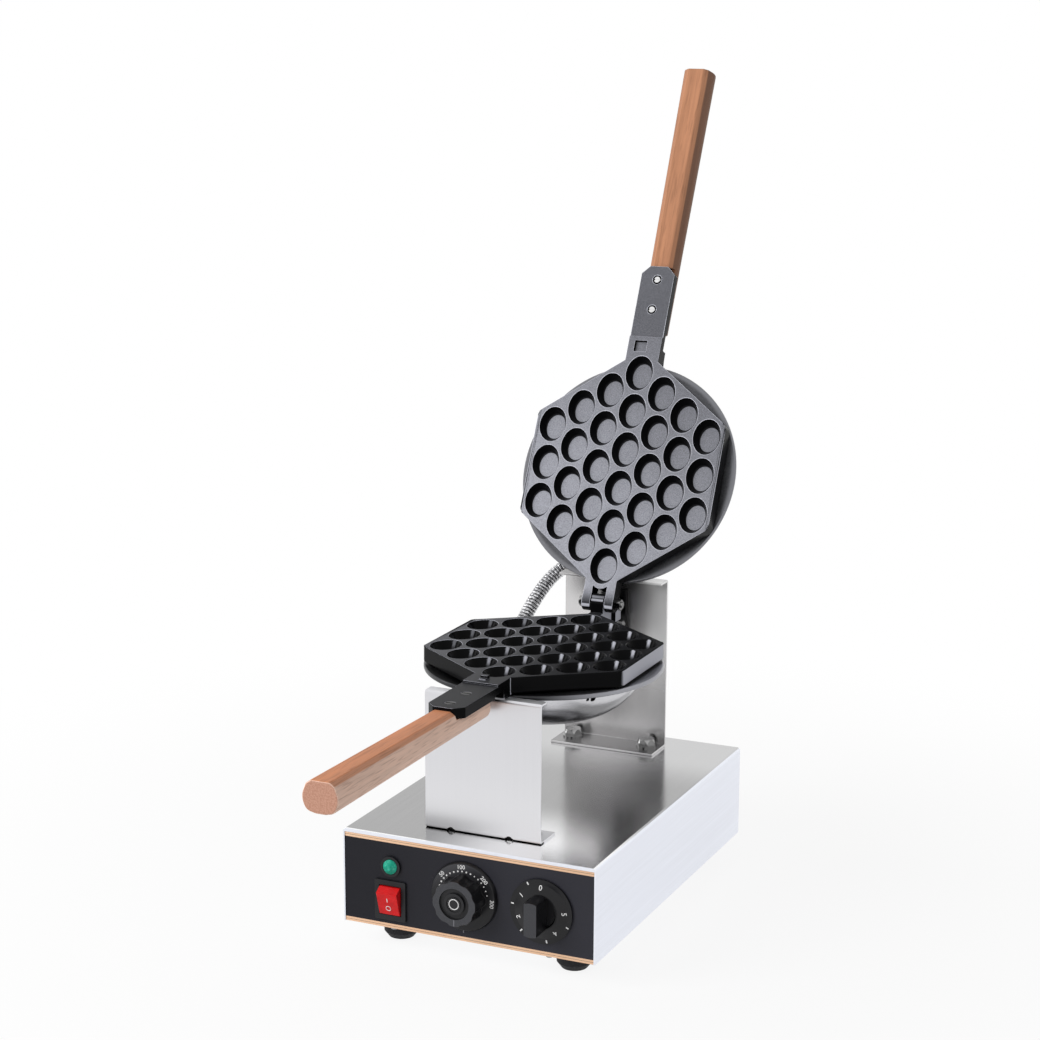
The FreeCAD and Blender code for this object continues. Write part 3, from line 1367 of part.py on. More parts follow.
def main():
    os.makedirs("parts", exist_ok=True)
    nodes = build()
    span = FreeCAD.BoundBox()
    for shape in nodes.values():
        span.add(shape.optimalBoundingBox(False))
    move = V(-(span.XMin + span.XMax) / 2, -(span.YMin + span.YMax) / 2, -span.ZMin)
    print("moved by", move, "size", span.XLength, span.YLength, span.ZLength)
    for name, shape in nodes.items():
        shape.translated(move).exportStep("parts/%s.step" % name)
    for label, p in (("hinge", HINGE), ("rocker", rocker_axis()),
                     ("thermostat", V(THERMO_X, face_y(), FOOT_H + THERMO_Z)),
                     ("timer", V(TIMER_X, face_y(), FOOT_H + TIMER_Z)),
                     ("mains", V(MAINS_X, BASE_D / 2 - SHEET + GLAND_H, FOOT_H + MAINS_Z))):
        print(label, p + move)


main()
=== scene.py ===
"""Looks of the electric egg-waffle iron: finishes, dial marks, the ribbed hose and the studio."""
import bpy
import math
from mathutils import Matrix, Vector


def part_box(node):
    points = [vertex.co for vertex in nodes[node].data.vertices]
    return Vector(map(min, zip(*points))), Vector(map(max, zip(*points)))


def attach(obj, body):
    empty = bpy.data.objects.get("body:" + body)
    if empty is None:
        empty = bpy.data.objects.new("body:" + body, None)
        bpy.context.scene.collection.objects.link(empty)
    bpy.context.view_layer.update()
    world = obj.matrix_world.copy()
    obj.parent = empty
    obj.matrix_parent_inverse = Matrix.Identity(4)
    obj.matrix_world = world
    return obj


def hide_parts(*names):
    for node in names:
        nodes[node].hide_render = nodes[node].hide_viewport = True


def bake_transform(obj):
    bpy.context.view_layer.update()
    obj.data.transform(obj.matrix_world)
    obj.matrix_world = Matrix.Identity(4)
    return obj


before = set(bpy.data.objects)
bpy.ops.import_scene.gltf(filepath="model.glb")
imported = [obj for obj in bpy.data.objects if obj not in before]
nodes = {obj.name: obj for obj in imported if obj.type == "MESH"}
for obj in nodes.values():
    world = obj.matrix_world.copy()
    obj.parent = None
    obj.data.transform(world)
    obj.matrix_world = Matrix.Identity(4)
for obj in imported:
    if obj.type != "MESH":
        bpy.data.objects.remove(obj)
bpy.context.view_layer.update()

# Headings, and places in the model's own millimetres

MM = 0.001
SHIFT_Y = 26.614
FOOT = 18.5
BOX_TOP = 72
BOX_FRONT = -150
BRACKET_FRONT = -123.4
THERMOSTAT_X, THERMOSTAT_Z = -1.6, 35.0
TIMER_X, TIMER_Z = 58.8, 33.8
ROCKER_X = -61.3
THERMOSTAT_GRIP, TIMER_GRIP = -167.5, -169.9
ACROSS, BACK, FRONT, UP = (1, 0, 0), (0, 1, 0), (0, -1, 0), (0, 0, 1)


def spot(x, y, z):
    """A place in the model's own millimetres, heights counted from the box's underside."""
    return Vector((x * MM, (y + SHIFT_Y) * MM, (z + FOOT) * MM))


HINGE = spot(0, 93, 195)
LID_OPEN = math.radians(116)
LID_FACE = Vector((0, -math.sin(LID_OPEN), -math.cos(LID_OPEN)))
LID_HANDLE = Vector((0, -math.cos(LID_OPEN), math.sin(LID_OPEN)))
LID_FACE_OUT = 6.35
LOWER_FACE_OUT = -6.65

# Cups: an oval mouth, narrower at the floor. Distances along the handle count from the hinge.

CUP_ALONG, CUP_ACROSS, CUP_DEEP = 29.6, 23.2, 7.0
CUP_APART, ROW_APART = 32.0, 22.1
LAST_CUP = 28.5
FLOOR_SHARE = 0.736
DISC_OUT = 108.5 * MM
DISC_R = (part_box("lower_heat_disc")[1][0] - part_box("lower_heat_disc")[0][0]) / 2


# Small helpers

def linked(name, data):
    """A new object in the scene around a block of data."""
    made = bpy.data.objects.new(name, data)
    bpy.context.scene.collection.objects.link(made)
    return made


def clear_choice():
    for o in bpy.context.selected_objects:
        o.select_set(False)


def choose(*objs):
    clear_choice()
    for o in objs:
        o.select_set(True)
    bpy.context.view_layer.objects.active = objs[0]


def settle(piece):
    """Puts a piece's place into its mesh, so that its object sits at the origin."""
    bpy.context.view_layer.update()
    piece.data.transform(piece.matrix_world)
    piece.matrix_world = Matrix.Identity(4)
    return piece


def mesh_piece(name, points, faces):
    mesh = bpy.data.meshes.new(name)
    mesh.from_pydata([tuple(p) for p in points], [], faces)
    mesh.validate()
    return linked(name, mesh)


def smooth(piece, degrees):
    choose(piece)
    bpy.ops.object.shade_smooth_by_angle(angle=math.radians(degrees))


def apply(piece, name, kind, **values):
    """Gives the active piece one modifier and applies it."""
    modifier = piece.modifiers.new(name, kind)
    for label, value in values.items():
        setattr(modifier, label, value)
    bpy.ops.object.modifier_apply(modifier=name)


def scaled(colour, amount):
    return tuple(c * amount for c in colour)


# Camera, solved from the photo

CAMERA_AT = (711.39, -1616.59, 678.64)
CAMERA_WAY = (-0.40542, 0.88732, -0.21977)
CAMERA_ROLL = math.radians(0.16)
CAMERA_LENS, CAMERA_SENSOR = 83.70, 36.0


def aim_camera():
    lens = bpy.data.cameras.new("studio_camera")
    lens.sensor_width = CAMERA_SENSOR
    lens.lens = CAMERA_LENS
    lens.clip_start, lens.clip_end = 0.05, 60
    eye = linked("studio_camera", lens)
    look = Vector(CAMERA_WAY).normalized()
    right = look.cross(Vector(UP)).normalized()
    up = right.cross(look)
    rolled_right = right * math.cos(CAMERA_ROLL) + up * math.sin(CAMERA_ROLL)
    rolled_up = up * math.cos(CAMERA_ROLL) - right * math.sin(CAMERA_ROLL)
    turn = Matrix((rolled_right, rolled_up, -look)).transposed().to_4x4()
    eye.matrix_world = Matrix.Translation(spot(*CAMERA_AT)) @ turn
    bpy.context.scene.camera = eye


aim_camera()


# The ribbed hose from the box to the lid's elbow

HOSE_TUBE_D = 11.6 * MM
HOSE_NECK_D = 10.2 * MM
HOSE_GROOVE_R = HOSE_NECK_D / 2 * 0.985
HOSE_START = spot(-72, 62, 84)
HOSE_TURNS, HOSE_AROUND = 58, 28
HOSE_NECK_SHARE, HOSE_PLAIN_SHARE = 0.035, 0.03
TURN_SHAPE = [(0.0, 0.0), (0.10, 0.55), (0.24, 0.95), (0.42, 1.0), (0.62, 0.92), (0.80, 0.55), (0.9, 0.05)]
hose_corners = [HOSE_START,
                HINGE + Vector((-72.5, -28.0, -79.0)) * MM,
                HINGE + Vector((-75.0, -2.0, -35.0)) * MM,
                HINGE + Vector((-58.8, 53.35, 15.9)) * MM,
                HINGE + Vector((-37.9, 51.35, 16.9)) * MM]


def hose_line():
    curve = bpy.data.curves.new("hose_line", "CURVE")
    curve.dimensions = "3D"
    spline = curve.splines.new("NURBS")
    spline.points.add(len(hose_corners) - 1)
    for p, c in zip(spline.points, hose_corners):
        p.co = (*c, 1)
    spline.order_u = 3
    spline.use_endpoint_u = True
    spline.resolution_u = 60
    holder = linked("hose_line", curve)
    bpy.context.view_layer.update()
    read = bpy.data.meshes.new_from_object(holder)
    line = [v.co.copy() for v in read.vertices]
    bpy.data.objects.remove(holder)
    bpy.data.meshes.remove(read)
    return line


def along(line, steps):
    """Points and headings at shares of a line's length."""
    reach = [0.0]
    for a, b in zip(line, line[1:]):
        reach.append(reach[-1] + (b - a).length)
    out, i = [], 0
    for share in steps:
        want = share * reach[-1]
        while i < len(line) - 2 and reach[i + 1] < want:
            i += 1
        t = (want - reach[i]) / max(reach[i + 1] - reach[i], 1e-9)
        out.append((line[i].lerp(line[i + 1], t), (line[i + 1] - line[i]).normalized()))
    return out


def hose_profile():
    """Shares of the length and the radius at each: plain necks, and turns between them."""
    steps, radii = [0.0, HOSE_PLAIN_SHARE], [HOSE_NECK_D / 2] * 2
    for i in range(HOSE_TURNS):
        for at, rise in TURN_SHAPE:
            steps.append(HOSE_NECK_SHARE + (1 - 2 * HOSE_NECK_SHARE) * (i + at) / HOSE_TURNS)
            radii.append(HOSE_GROOVE_R + (HOSE_TUBE_D / 2 - HOSE_GROOVE_R) * rise)
    return steps + [1 - HOSE_PLAIN_SHARE, 1.0], radii + [HOSE_NECK_D / 2] * 2


def ribbed_hose():
    """Interlocked steel strip: each turn has a rounded crown and a tucked edge."""
    line = hose_line()
    steps, radii = hose_profile()
    points, faces = [], []
    side = Vector(ACROSS)
    for (centre, way), radius in zip(along(line, steps), radii):
        side = (side - way * side.dot(way)).normalized()
        up = way.cross(side)
        for k in range(HOSE_AROUND):
            a = 2 * math.pi * k / HOSE_AROUND
            points.append(centre + (side * math.cos(a) + up * math.sin(a)) * radius)
    last = (len(radii) - 1) * HOSE_AROUND
    for i in range(0, last, HOSE_AROUND):
        for k in range(HOSE_AROUND):
            n = (k + 1) % HOSE_AROUND
            faces.append((i + k, i + n, i + HOSE_AROUND + n, i + HOSE_AROUND + k))
    faces.append(tuple(reversed(range(HOSE_AROUND))))
    faces.append(tuple(range(last, last + HOSE_AROUND)))
    made = mesh_piece("hose_ribbed", points, faces)
    crown = made.data.attributes.new("crown", "FLOAT", "POINT")
    low, high = min(radii), max(radii)
    for i, radius in enumerate(radii):
        for k in range(HOSE_AROUND):
            crown.data[i * HOSE_AROUND + k].value = (radius - low) / (high - low)
    smooth(made, 60)
    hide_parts("lid_hose")
    path = [tuple(p) for p, way in along(line, [i / 120 for i in range(121)])]
    tuple(spot(-70, 62, 100))
    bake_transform(made)
    return made


hose = ribbed_hose()


# Shader maths

class Value:
    """A number, colour or direction on its way through its owner's nodes."""

    def __init__(self, owner, socket):
        self.owner, self.socket = owner, socket

    def _maths(self, kind, other, turned=False):
        a, b = (other, self) if turned else (self, other)
        return self.owner.node("ShaderNodeMath", {"operation": kind}, {0: a, 1: b})

    def __add__(self, o): return self._maths("ADD", o)
    def __radd__(self, o): return self._maths("ADD", o, True)
    def __sub__(self, o): return self._maths("SUBTRACT", o)
    def __rsub__(self, o): return self._maths("SUBTRACT", o, True)
    def __mul__(self, o): return self._maths("MULTIPLY", o)
    def __rmul__(self, o): return self._maths("MULTIPLY", o, True)
    def __pow__(self, o): return self._maths("POWER", o)
    def __gt__(self, o): return self._maths("GREATER_THAN", o)
    def __lt__(self, o): return self._maths("LESS_THAN", o)

    def nearest(self):
        """The nearest whole number."""
        return self.owner.node("ShaderNodeMath", {"operation": "ROUND"}, {0: self})

    def span(self, low, high, to_low=0.0, to_high=1.0):
        """Runs smoothly from one level to the other while the value goes from low to high."""
        return self.owner.node("ShaderNodeMapRange", {"interpolation_type": "SMOOTHSTEP"},
                               {0: self, 1: low, 2: high, 3: to_low, 4: to_high})


class Tree:
    """The nodes of a finish or of the air, and the ways to add to them."""

    def __init__(self, tree):
        self.tree = tree

    def only(self, kind):
        """The one node of its kind that is there from the start."""
        return next(n for n in self.tree.nodes if n.type == kind)

    def feed(self, socket, value):
        """Links a value to a socket, or writes a plain number or colour into it."""
        if isinstance(value, Value):
            self.tree.links.new(value.socket, socket)
        elif socket.type == "RGBA" and len(value) == 3:
            socket.default_value = (*value, 1)
        else:
            socket.default_value = value

    def node(self, kind, settings=None, sockets=None, out=0):
        n = self.tree.nodes.new(kind)
        for label, value in (settings or {}).items():
            setattr(n, label, value)
        for label, value in (sockets or {}).items():
            self.feed(n.inputs[label], value)
        return Value(self, n.outputs[out])

    def seen_straight(self):
        """1 for the camera, in a gloss and through clear plastic, 0 where it only lights other things."""
        camera, glossy, through = (self.node("ShaderNodeLightPath", out="Is " + kind + " Ray")
                                   for kind in ("Camera", "Glossy", "Transmission"))
        return (camera + glossy + through) > 0.5


class Finish(Tree):
    """A material under work, with the values that its maths needs."""

    def __init__(self, name, **plain):
        self.material = bpy.data.materials.new(name)
        self.material.use_nodes = True
        super().__init__(self.material.node_tree)
        self.body = self.only("BSDF_PRINCIPLED")
        for label, value in plain.items():
            self.set(label.replace("_", " ").title().replace("Ior", "IOR"), value)

    def set(self, label, value):
        self.feed(self.body.inputs[label], value)

    def place(self):
        return self.node("ShaderNodeTexCoord", out="Object")

    def share_of(self, where, way):
        return self.node("ShaderNodeVectorMath", {"operation": "DOT_PRODUCT"}, {0: where, 1: tuple(way)},
                         out="Value")

    def facing(self, way):
        """How squarely a face looks along a heading of the rest pose: 1 square on, -1 away."""
        return self.share_of(self.node("ShaderNodeTexCoord", out="Normal"), way)

    def reach(self, way, start=(0, 0, 0)):
        """Distance in metres along a heading, from a starting point."""
        return self.share_of(self.place(), way) - Vector(way).dot(Vector(start))

    def stretched(self, scale, turn=None):
        where = self.place()
        if turn:
            where = self.node("ShaderNodeMapping", None, {"Vector": where, "Rotation": turn})
        return self.node("ShaderNodeMapping", None, {"Vector": where, "Scale": scale})

    def noise(self, scale, detail=2.0, rough=0.5, where=None):
        return self.node("ShaderNodeTexNoise", None, {"Vector": where or self.place(), "Scale": scale,
                                                      "Detail": detail, "Roughness": rough})

    def blend(self, share, a, b):
        return self.node("ShaderNodeMix", {"data_type": "RGBA"}, {0: share, 6: a, 7: b}, out=2)

    def between(self, share, colour, low, high):
        """A colour that runs from its low to its high multiple."""
        return self.blend(share, scaled(colour, low), scaled(colour, high))

    def tinted(self, level, colour):
        """A level times a colour."""
        grey = self.node("ShaderNodeCombineXYZ", None, {0: level, 1: level, 2: level})
        return self.node("ShaderNodeVectorMath", {"operation": "MULTIPLY"}, {0: grey, 1: colour})

    def bump(self, height, distance, strength):
        self.set("Normal", self.node("ShaderNodeBump", None, {"Height": height, "Distance": distance,
                                                              "Strength": strength}))


# Sheet steel

NOTCH_X, NOTCH_R, NOTCH_HIGH = (-25.5, 21), 3.2 * MM, 4 * MM
BEND_LINE, BEND_DEEP = 0.9 * MM, 6 * MM


def brushed(name, tone, rough, grain, streak=0.05, tint=(0.985, 0.985, 1.02), top=None, painted_foot_light=0.0, dull=0.0):
    """Sheet steel with fine brushing along one axis and faint smears.

    The box's top is painted a darker grey than its sides, standing in for shade and reflection. The front
    bracket can take painted light at its foot, and dull is for the rear bracket, whose tones are painted light
    and shade.
    """
    f = Finish(name, metallic=1.0)
    lines = f.noise(1.0, 3.0, 0.6, f.stretched(grain))
    coarse = f.noise(1.0, 2.0, 0.5, f.stretched(scaled(grain, 0.22)))
    smear = f.noise(9.0, 3.0, 0.55)
    mixed = lines * 0.6 + coarse * 0.4
    bright = mixed.span(0.3, 0.7)
    colour = f.between(bright, scaled(tint, tone), 1 - streak, 1 + streak)
    roughness = mixed * 0.06 + smear * 0.08 + (rough - 0.07)
    if painted_foot_light:
        colour = front_bracket_painted_light(f, colour, painted_foot_light)
    if top:
        # Painted shade and reflection: the top gets its own darker grey sheet.
        top_tone, top_rough = top
        up = f.facing(UP).span(0.6, 0.95)
        sheet = f.between(bright, (top_tone,) * 3, 1 - streak, 1 + streak)
        colour = f.blend(up, colour, box_top_painted_reflection(f, sheet, smear * 0.03))
        roughness = roughness + up * (top_rough - rough)
    if dull:
        colour = rear_bracket_painted_light(f, colour, dull)
    f.set("Base Color", colour)
    f.set("Roughness", roughness)
    f.bump(lines, 0.00001, 0.12)
    return f.material


def front_bracket_painted_light(f, colour, painted_foot_light):
    """Painted light brightens it towards the foot, and painted shade darkens a line and two relief notches at
    the bend.
    """
    over = f.reach(UP, spot(0, 0, BOX_TOP))
    colour = f.blend(over.span(0.0, 0.07, 1.0, 0.0) * painted_foot_light, colour, (1, 1, 1))
    deep = f.reach(BACK, spot(0, BRACKET_FRONT, 0))
    left, right = (f.reach(ACROSS, spot(x, 0, 0)) for x in NOTCH_X)
    notch = ((left * left < NOTCH_R ** 2) + (right * right < NOTCH_R ** 2)) * (over < NOTCH_HIGH)
    # Painted shade: a dark line and two dark notches along the bend.
    bend_shade = (deep > 0.1 * MM) * (deep < BEND_DEEP) * ((over < BEND_LINE) + notch > 0.5)
    return f.blend(bend_shade, colour, (0.008, 0.008, 0.008))


def box_top_painted_reflection(f, sheet, drift):
    """The top's darker sheet with painted reflection: brighter at its front right and towards the rear, and a
    painted highlight on the front lip.
    """
    x, y = f.reach(ACROSS), f.reach(BACK, spot(0, BOX_FRONT, 0))
    front = (y + drift).span(0.04, 0.13, 1.0, 0.0) * (x + drift).span(-0.03, 0.05)
    rear = (y + drift).span(0.19, 0.27)
    lip_highlight = y < 1.6 * MM
    return f.blend(front * (1 - lip_highlight) + rear * 0.32 + lip_highlight, sheet, (0.99, 0.99, 1.0))


def rear_bracket_painted_light(f, colour, dull):
    """Painted shade on the flange and beside the hinge, a duller upper right with a painted highlight along
    its edge, and painted light on the foot.
    """
    shaded_flange = f.facing(UP).span(0.6, 0.95)
    colour = f.blend(shaded_flange * 0.7, colour, (0.10, 0.10, 0.10))
    x, z = f.reach(ACROSS), f.reach(UP)
    corner = x.span(-0.002, 0.026) * z.span(0.11, 0.17)
    f.set("Metallic", 1 - corner * dull)
    shade_beside_hinge = x.span(0.014, 0.03, 0.7, 0.0) * (x > 0) * z.span(0.135, 0.165)
    colour = f.blend(shade_beside_hinge, colour, (0.03, 0.03, 0.03))
    # Painted highlight along the upper right edge.
    colour = f.blend(x.span(0.024, 0.034) * corner, colour, (0.97, 0.97, 0.97))
    foot = z.span(0.085, 0.13, 0.6, 0.0) * (1 - shaded_flange)
    return f.blend(foot, colour, (0.95, 0.94, 0.95))


# Turned and plated metal

BRIGHT_CORE, HEADS_APART = 2.5 * MM, 25.5 * MM
RIM_TINT = (0.97, 0.98, 1.06)


def head_places():
    """Where the axes of the lid handle's two screws lie along the handle."""
    reach = [(v.co - HINGE).dot(LID_HANDLE) for v in nodes["lid_handle_screws"].data.vertices]
    middle = (min(reach) + max(reach)) / 2
    return middle - HEADS_APART / 2, middle + HEADS_APART / 2


def plated(name, tone, rough, tint=(1, 1, 1), heads=None):
    """Metal with a faint cloud. Screws whose head places are given keep their bright metal at the core alone;
    the rest of each head is painted near black, as shade in its hole.
    """
    f = Finish(name, metallic=1.0)
    cloud = f.noise(160.0, 3.0)
    colour = f.between(cloud.span(0.35, 0.7), scaled(tint, tone), 0.82, 1.0)
    if heads:
        x, out = f.reach(ACROSS), f.reach(LID_HANDLE, HINGE)
        near, far = ((x * x + (out - at) * (out - at)) < BRIGHT_CORE ** 2 for at in heads)
        # Painted shade: each head is near black outside its bright core.
        colour = f.blend(near + far, (0.012, 0.012, 0.013), colour)
    f.set("Base Color", colour)
    f.set("Roughness", cloud * 0.2 + (rough - 0.08))
    f.bump(f.noise(700.0, 2.0), 0.00002, 0.4)
    return f.material


def turned_disc(name, tone, handle, painted_side_light=(1.0, 1.0)):
    """Turned edge disc: fine grain, a dulled grey face and a painted highlight band along the rim. Where sides
    are given, the disc is painted darker to its left and lighter to its right, as shade and reflection.
    """
    f = Finish(name, metallic=0.9)
    grain = f.noise(700.0, 3.0)
    cloud = f.noise(22.0, 2.0)
    face = f.between((grain * 0.5 + cloud * 0.5).span(0.3, 0.7), scaled(RIM_TINT, tone), 0.7, 1.3)
    x, out = f.reach(ACROSS), f.reach(handle, HINGE + Vector(handle) * DISC_OUT)
    band = ((x * x + out * out) ** 0.5).span(DISC_R - 5 * MM, DISC_R - 2 * MM)
    # Painted highlight: the band along the rim is twice as bright.
    turned = f.blend(band, face, scaled(RIM_TINT, tone * 2.0))
    # Painted shade and reflection: darker to the left, lighter to the right.
    f.set("Base Color", f.tinted(x.span(0.03, 0.085, *painted_side_light), turned))
    f.set("Roughness", grain * 0.15 + cloud * 0.1 + 0.2)
    f.bump(grain, 0.00003, 0.4)
    return f.material


def hose_steel():
    """Bright strip with dull, scratched turns: the speckle seen on such hoses. The grooves between the crowns
    are painted near black, as their shade.
    """
    f = Finish("hose_bright_strip", metallic=1.0)
    fleck = f.noise(520.0, 2.0, 0.6)
    crown = f.node("ShaderNodeAttribute", {"attribute_name": "crown"}, out="Fac")
    wear_and_highlight = f.blend(fleck.span(0.44, 0.60), (0.34, 0.34, 0.35), (0.93, 0.93, 0.95))
    # Painted shade: the grooves between the crowns are near black.
    f.set("Base Color", f.blend(crown.span(0.12, 0.62), (0.05, 0.05, 0.053), wear_and_highlight))
    f.set("Roughness", fleck * 0.24 + 0.1)
    f.bump(fleck, 0.00005, 0.6)
    return f.material


# Cast cup plates

FLOOR_UNDER = 2.4 * MM
TONGUE_FROM, LAST_CUP_END, SIDE_END = 0.2195, 0.2045, 0.2
SHADE_SMALLER, SHADE_ACROSS, SHADE_ALONG, SHADE_DEPTH = 0.2, 0.95, 1.15, 0.96
HINGE_SHADE = (-0.004, 0.012, 0.12, 1.0)
STREAK_LOW, STREAK_HIGH = -6.4 * MM, -2.6 * MM
COAT_TINT = (0.96, 0.975, 1.09)
PLATE_MIDDLE, GLOW_HALF = 0.112, 0.115
LID_GLOW_WAY = Vector((-0.6, 0, 0)) - LID_HANDLE * 0.8
lid_middle = LID_GLOW_WAY.dot(HINGE + LID_HANDLE * PLATE_MIDDLE)


def floor_shade(f, out):
    """1 beside the upper left wall of each cup's floor, 0 on an oval set off to the lower right."""
    column = f.reach(ACROSS) * (1 / (ROW_APART * MM))
    row = column.nearest()
    step = (out - LAST_CUP * MM) * (1 / (CUP_APART * MM)) + row * 0.5
    across = (column - row) * ROW_APART - SHADE_ACROSS
    up = (step - step.nearest()) * CUP_APART + SHADE_ALONG
    across = across * (1 / (CUP_ACROSS * FLOOR_SHARE / 2 - SHADE_SMALLER))
    up = up * (1 / (CUP_ALONG * FLOOR_SHARE / 2 - SHADE_SMALLER))
    return (across * across + up * up).span(0.94, 1.04)


def release_coat(name, face, datum, handle, lands, floors, tab, wear_and_highlight, glow, side=None, streak=None,
                 flake=0.55, gloss=0.12):
    """Cast cup plate under a dark release coat.

    Lands, cup floors and the tongue under the handle carry a sparkling grey bloom, each of its own
    tone. Walls stay smooth and are painted near black, as their shade, and the edges between are painted
    lighter, as highlight and rubbing. Painted light runs over the face along a heading, with painted
    shade towards the hinge. A side wall can be painted lighter as if lit, and each cup can take a
    painted highlight streak.
    """
    f = Finish(name, specular_ior_level=gloss)
    square = f.facing(face)
    flat = square.span(0.88, 0.97)
    height, out = f.reach(face, datum), f.reach(handle, datum)
    low = height < -FLOOR_UNDER
    edge = square.span(0.64, 0.74) * (1 - square.span(0.86, 0.94)) * (1 - low)
    grit = f.noise(1500.0, 2.0, 0.7)
    cloud = f.noise(18.0, 3.0)

    heading, start, end, least, most = glow
    # Painted light: a gradient that brightens the face along the heading and darkens it the other way.
    painted_light_gradient = f.reach(heading).span(start, end, least, most)
    shaded = low * (out < LAST_CUP_END) * floor_shade(f, out)
    tone = (lands + low * (floors - lands)) * (1 - shaded * SHADE_DEPTH)
    # Painted shade: darker towards the hinge end.
    tone = tone * painted_light_gradient * out.span(*HINGE_SHADE)
    tongue = out > TONGUE_FROM
    tone = tone * (1 - tongue) + tongue * tab
    bloom = grit.span(0.33, 0.68) * 0.5 + cloud * 0.3 + 0.6

    # Painted shade: the cup walls are near black.
    wall = cloud * 0.004 + 0.002
    # Painted light: a side wall facing the heading is painted lighter.
    if side:
        heading, amount = side
        wall = wall + f.facing(heading).span(0.9, 0.99) * (out < SIDE_END) * amount
    # Painted highlight: a streak on the cup wall facing the heading, brightest near the rim and stronger to
    # the right; the edges fade with the painted light gradient.
    if streak:
        heading, amount = streak
        lit = height.span(STREAK_LOW, STREAK_HIGH, 0.1, 1.0) * f.reach(ACROSS).span(-0.09, 0.05, 0.3, 1.6)
        wall = wall + f.facing(heading).span(0.982, 1.0) * lit * amount
        edge = edge * painted_light_gradient.span(0.0, 1.0)

    # Painted highlight with some rubbing: the edges between walls and faces are lighter.
    level = tone * bloom * flat + wall * (1 - flat) + edge * (grit * 0.6 + 0.7) * wear_and_highlight
    f.set("Base Color", f.tinted(level, COAT_TINT))
    f.set("Metallic", flat * flake + edge * 0.3)
    f.set("Roughness", grit * 0.10 + flat * 0.20 + 0.16)
    f.bump(grit * flat, 0.00004, 0.5)
    return f.material


# Wood, plastic, rubber, fibre, film and ink

FILM_BOTTOM, FILM_TOP = (FOOT + 0.3) * MM, (FOOT + 69.1) * MM
COPPER_WIDE, COPPER_GAP_AT, COPPER_GAP = 3.3 * MM, 1.45 * MM, 0.28 * MM


def beech(name, turn, mould_side, top_tone, side_tone, end_way):
    """Beech with the grain along the handle: figure, short dark flecks, and tones given for face, side and
    end.
    """
    f = Finish(name, specular_ior_level=0.2)
    warp = f.noise(9.0, 2.0)
    grain = f.noise(1.0, 4.0, 0.6, f.stretched((420, 18, 420), turn))
    band = f.noise(1.0, 2.0, 0.5, f.stretched((90, 4, 90), turn))
    fleck = f.noise(1.0, 1.0, 0.4, f.stretched((1000, 55, 1000), turn))
    figure = (grain * 0.5 + band * 0.4 + warp * 0.2).span(0.36, 0.74)
    face = f.facing(mould_side).span(0.55, 0.9)
    end = f.facing(end_way).span(0.8, 0.95)
    colour = f.blend(face, f.between(figure, side_tone, 0.86, 1.14), f.between(figure, top_tone, 0.84, 1.16))
    pores = f.noise(1.0, 2.0, 0.6, f.stretched((900, 900, 900)))
    cut = f.blend(pores.span(0.4, 0.6), (0.47, 0.24, 0.165), (0.56, 0.31, 0.225))
    colour = f.blend(end, colour, cut)
    colour = f.blend(fleck.span(0.52, 0.72) * 0.32 * (1 - end), colour, scaled(top_tone, 0.42))
    f.set("Base Color", colour)
    f.set("Roughness", grain * 0.18 + 0.42)
    f.bump(grain * 0.6 + fleck * 0.4, 0.00012, 0.5)
    return f.material


def moulded(name, colour, rough, grain=900.0, depth=0.00003):
    """Black or white moulded plastic and rubber, with a faint pebbled skin."""
    f = Finish(name, specular_ior_level=0.35)
    speck = f.noise(grain, 2.0)
    wide = f.noise(30.0, 2.0)
    f.set("Base Color", f.between(wide.span(0.3, 0.7), colour, 0.82, 1.15))
    f.set("Roughness", speck * 0.14 + wide * 0.10 + (rough - 0.12))
    f.bump(speck, depth, 0.5)
    return f.material


def knob_plastic(name, face_y, face_tone, centre_z):
    """Black knob: a satin front face painted grey as the light on it, deep black sides, and a painted sheen on
    the upper skirt.
    """
    f = Finish(name, specular_ior_level=0.3)
    speck = f.noise(1500.0, 2.0)
    wide = f.noise(60.0, 2.0)
    front = f.facing(FRONT).span(0.75, 0.97) * (f.reach(FRONT, spot(0, face_y + 1.0, 0)) > 0)
    deep = f.blend(wide, (0.006, 0.006, 0.007), (0.011, 0.011, 0.013))
    # Painted light: the front face is a satin grey.
    painted_face_light = f.blend(speck.span(0.3, 0.7), scaled((0.84, 0.86, 0.98), face_tone),
                     scaled((1.08, 1.1, 1.24), face_tone))
    upper = f.reach((-0.35, 0, 0.94), spot(0, 0, centre_z)).span(0.004, 0.034)
    # Painted sheen on the upper skirt.
    painted_skirt_sheen = upper * f.facing(FRONT).span(0.6, 0.9) * (1 - front)
    dark = f.blend(painted_skirt_sheen, deep, (0.06, 0.06, 0.068))
    f.set("Base Color", f.blend(front, dark, painted_face_light))
    f.set("Roughness", speck * 0.12 + front * 0.1 + 0.24)
    f.bump(speck, 0.00003, 0.4)
    return f.material


def see_through(name, colour, glow, pattern=0.0):
    """Lit or tinted plastic: a deep colour under a clear gloss, with cells where a pattern is given."""
    f = Finish(name, coat_weight=0.05, specular_ior_level=0.16)
    f.set("Coat Roughness", 0.12)
    deep = f.noise(120.0, 2.0)
    f.set("Base Color", f.between(deep.span(0.3, 0.7), colour, 0.75, 1.0))
    f.set("Roughness", deep * 0.12 + 0.2)
    if pattern:
        cells = f.node("ShaderNodeTexVoronoi", {"feature": "F1"}, {"Vector": f.place(), "Scale": pattern})
        pale = tuple(min(1, c * 1.6 + 0.15) for c in colour)
        f.set("Emission Color", f.blend(cells.span(0.15, 0.55), pale, colour))
        f.bump(cells, 0.0006, 0.8)
    else:
        f.set("Emission Color", f.between(deep, colour, 1.0, 0.8))
    f.set("Emission Strength", glow)
    return f.material


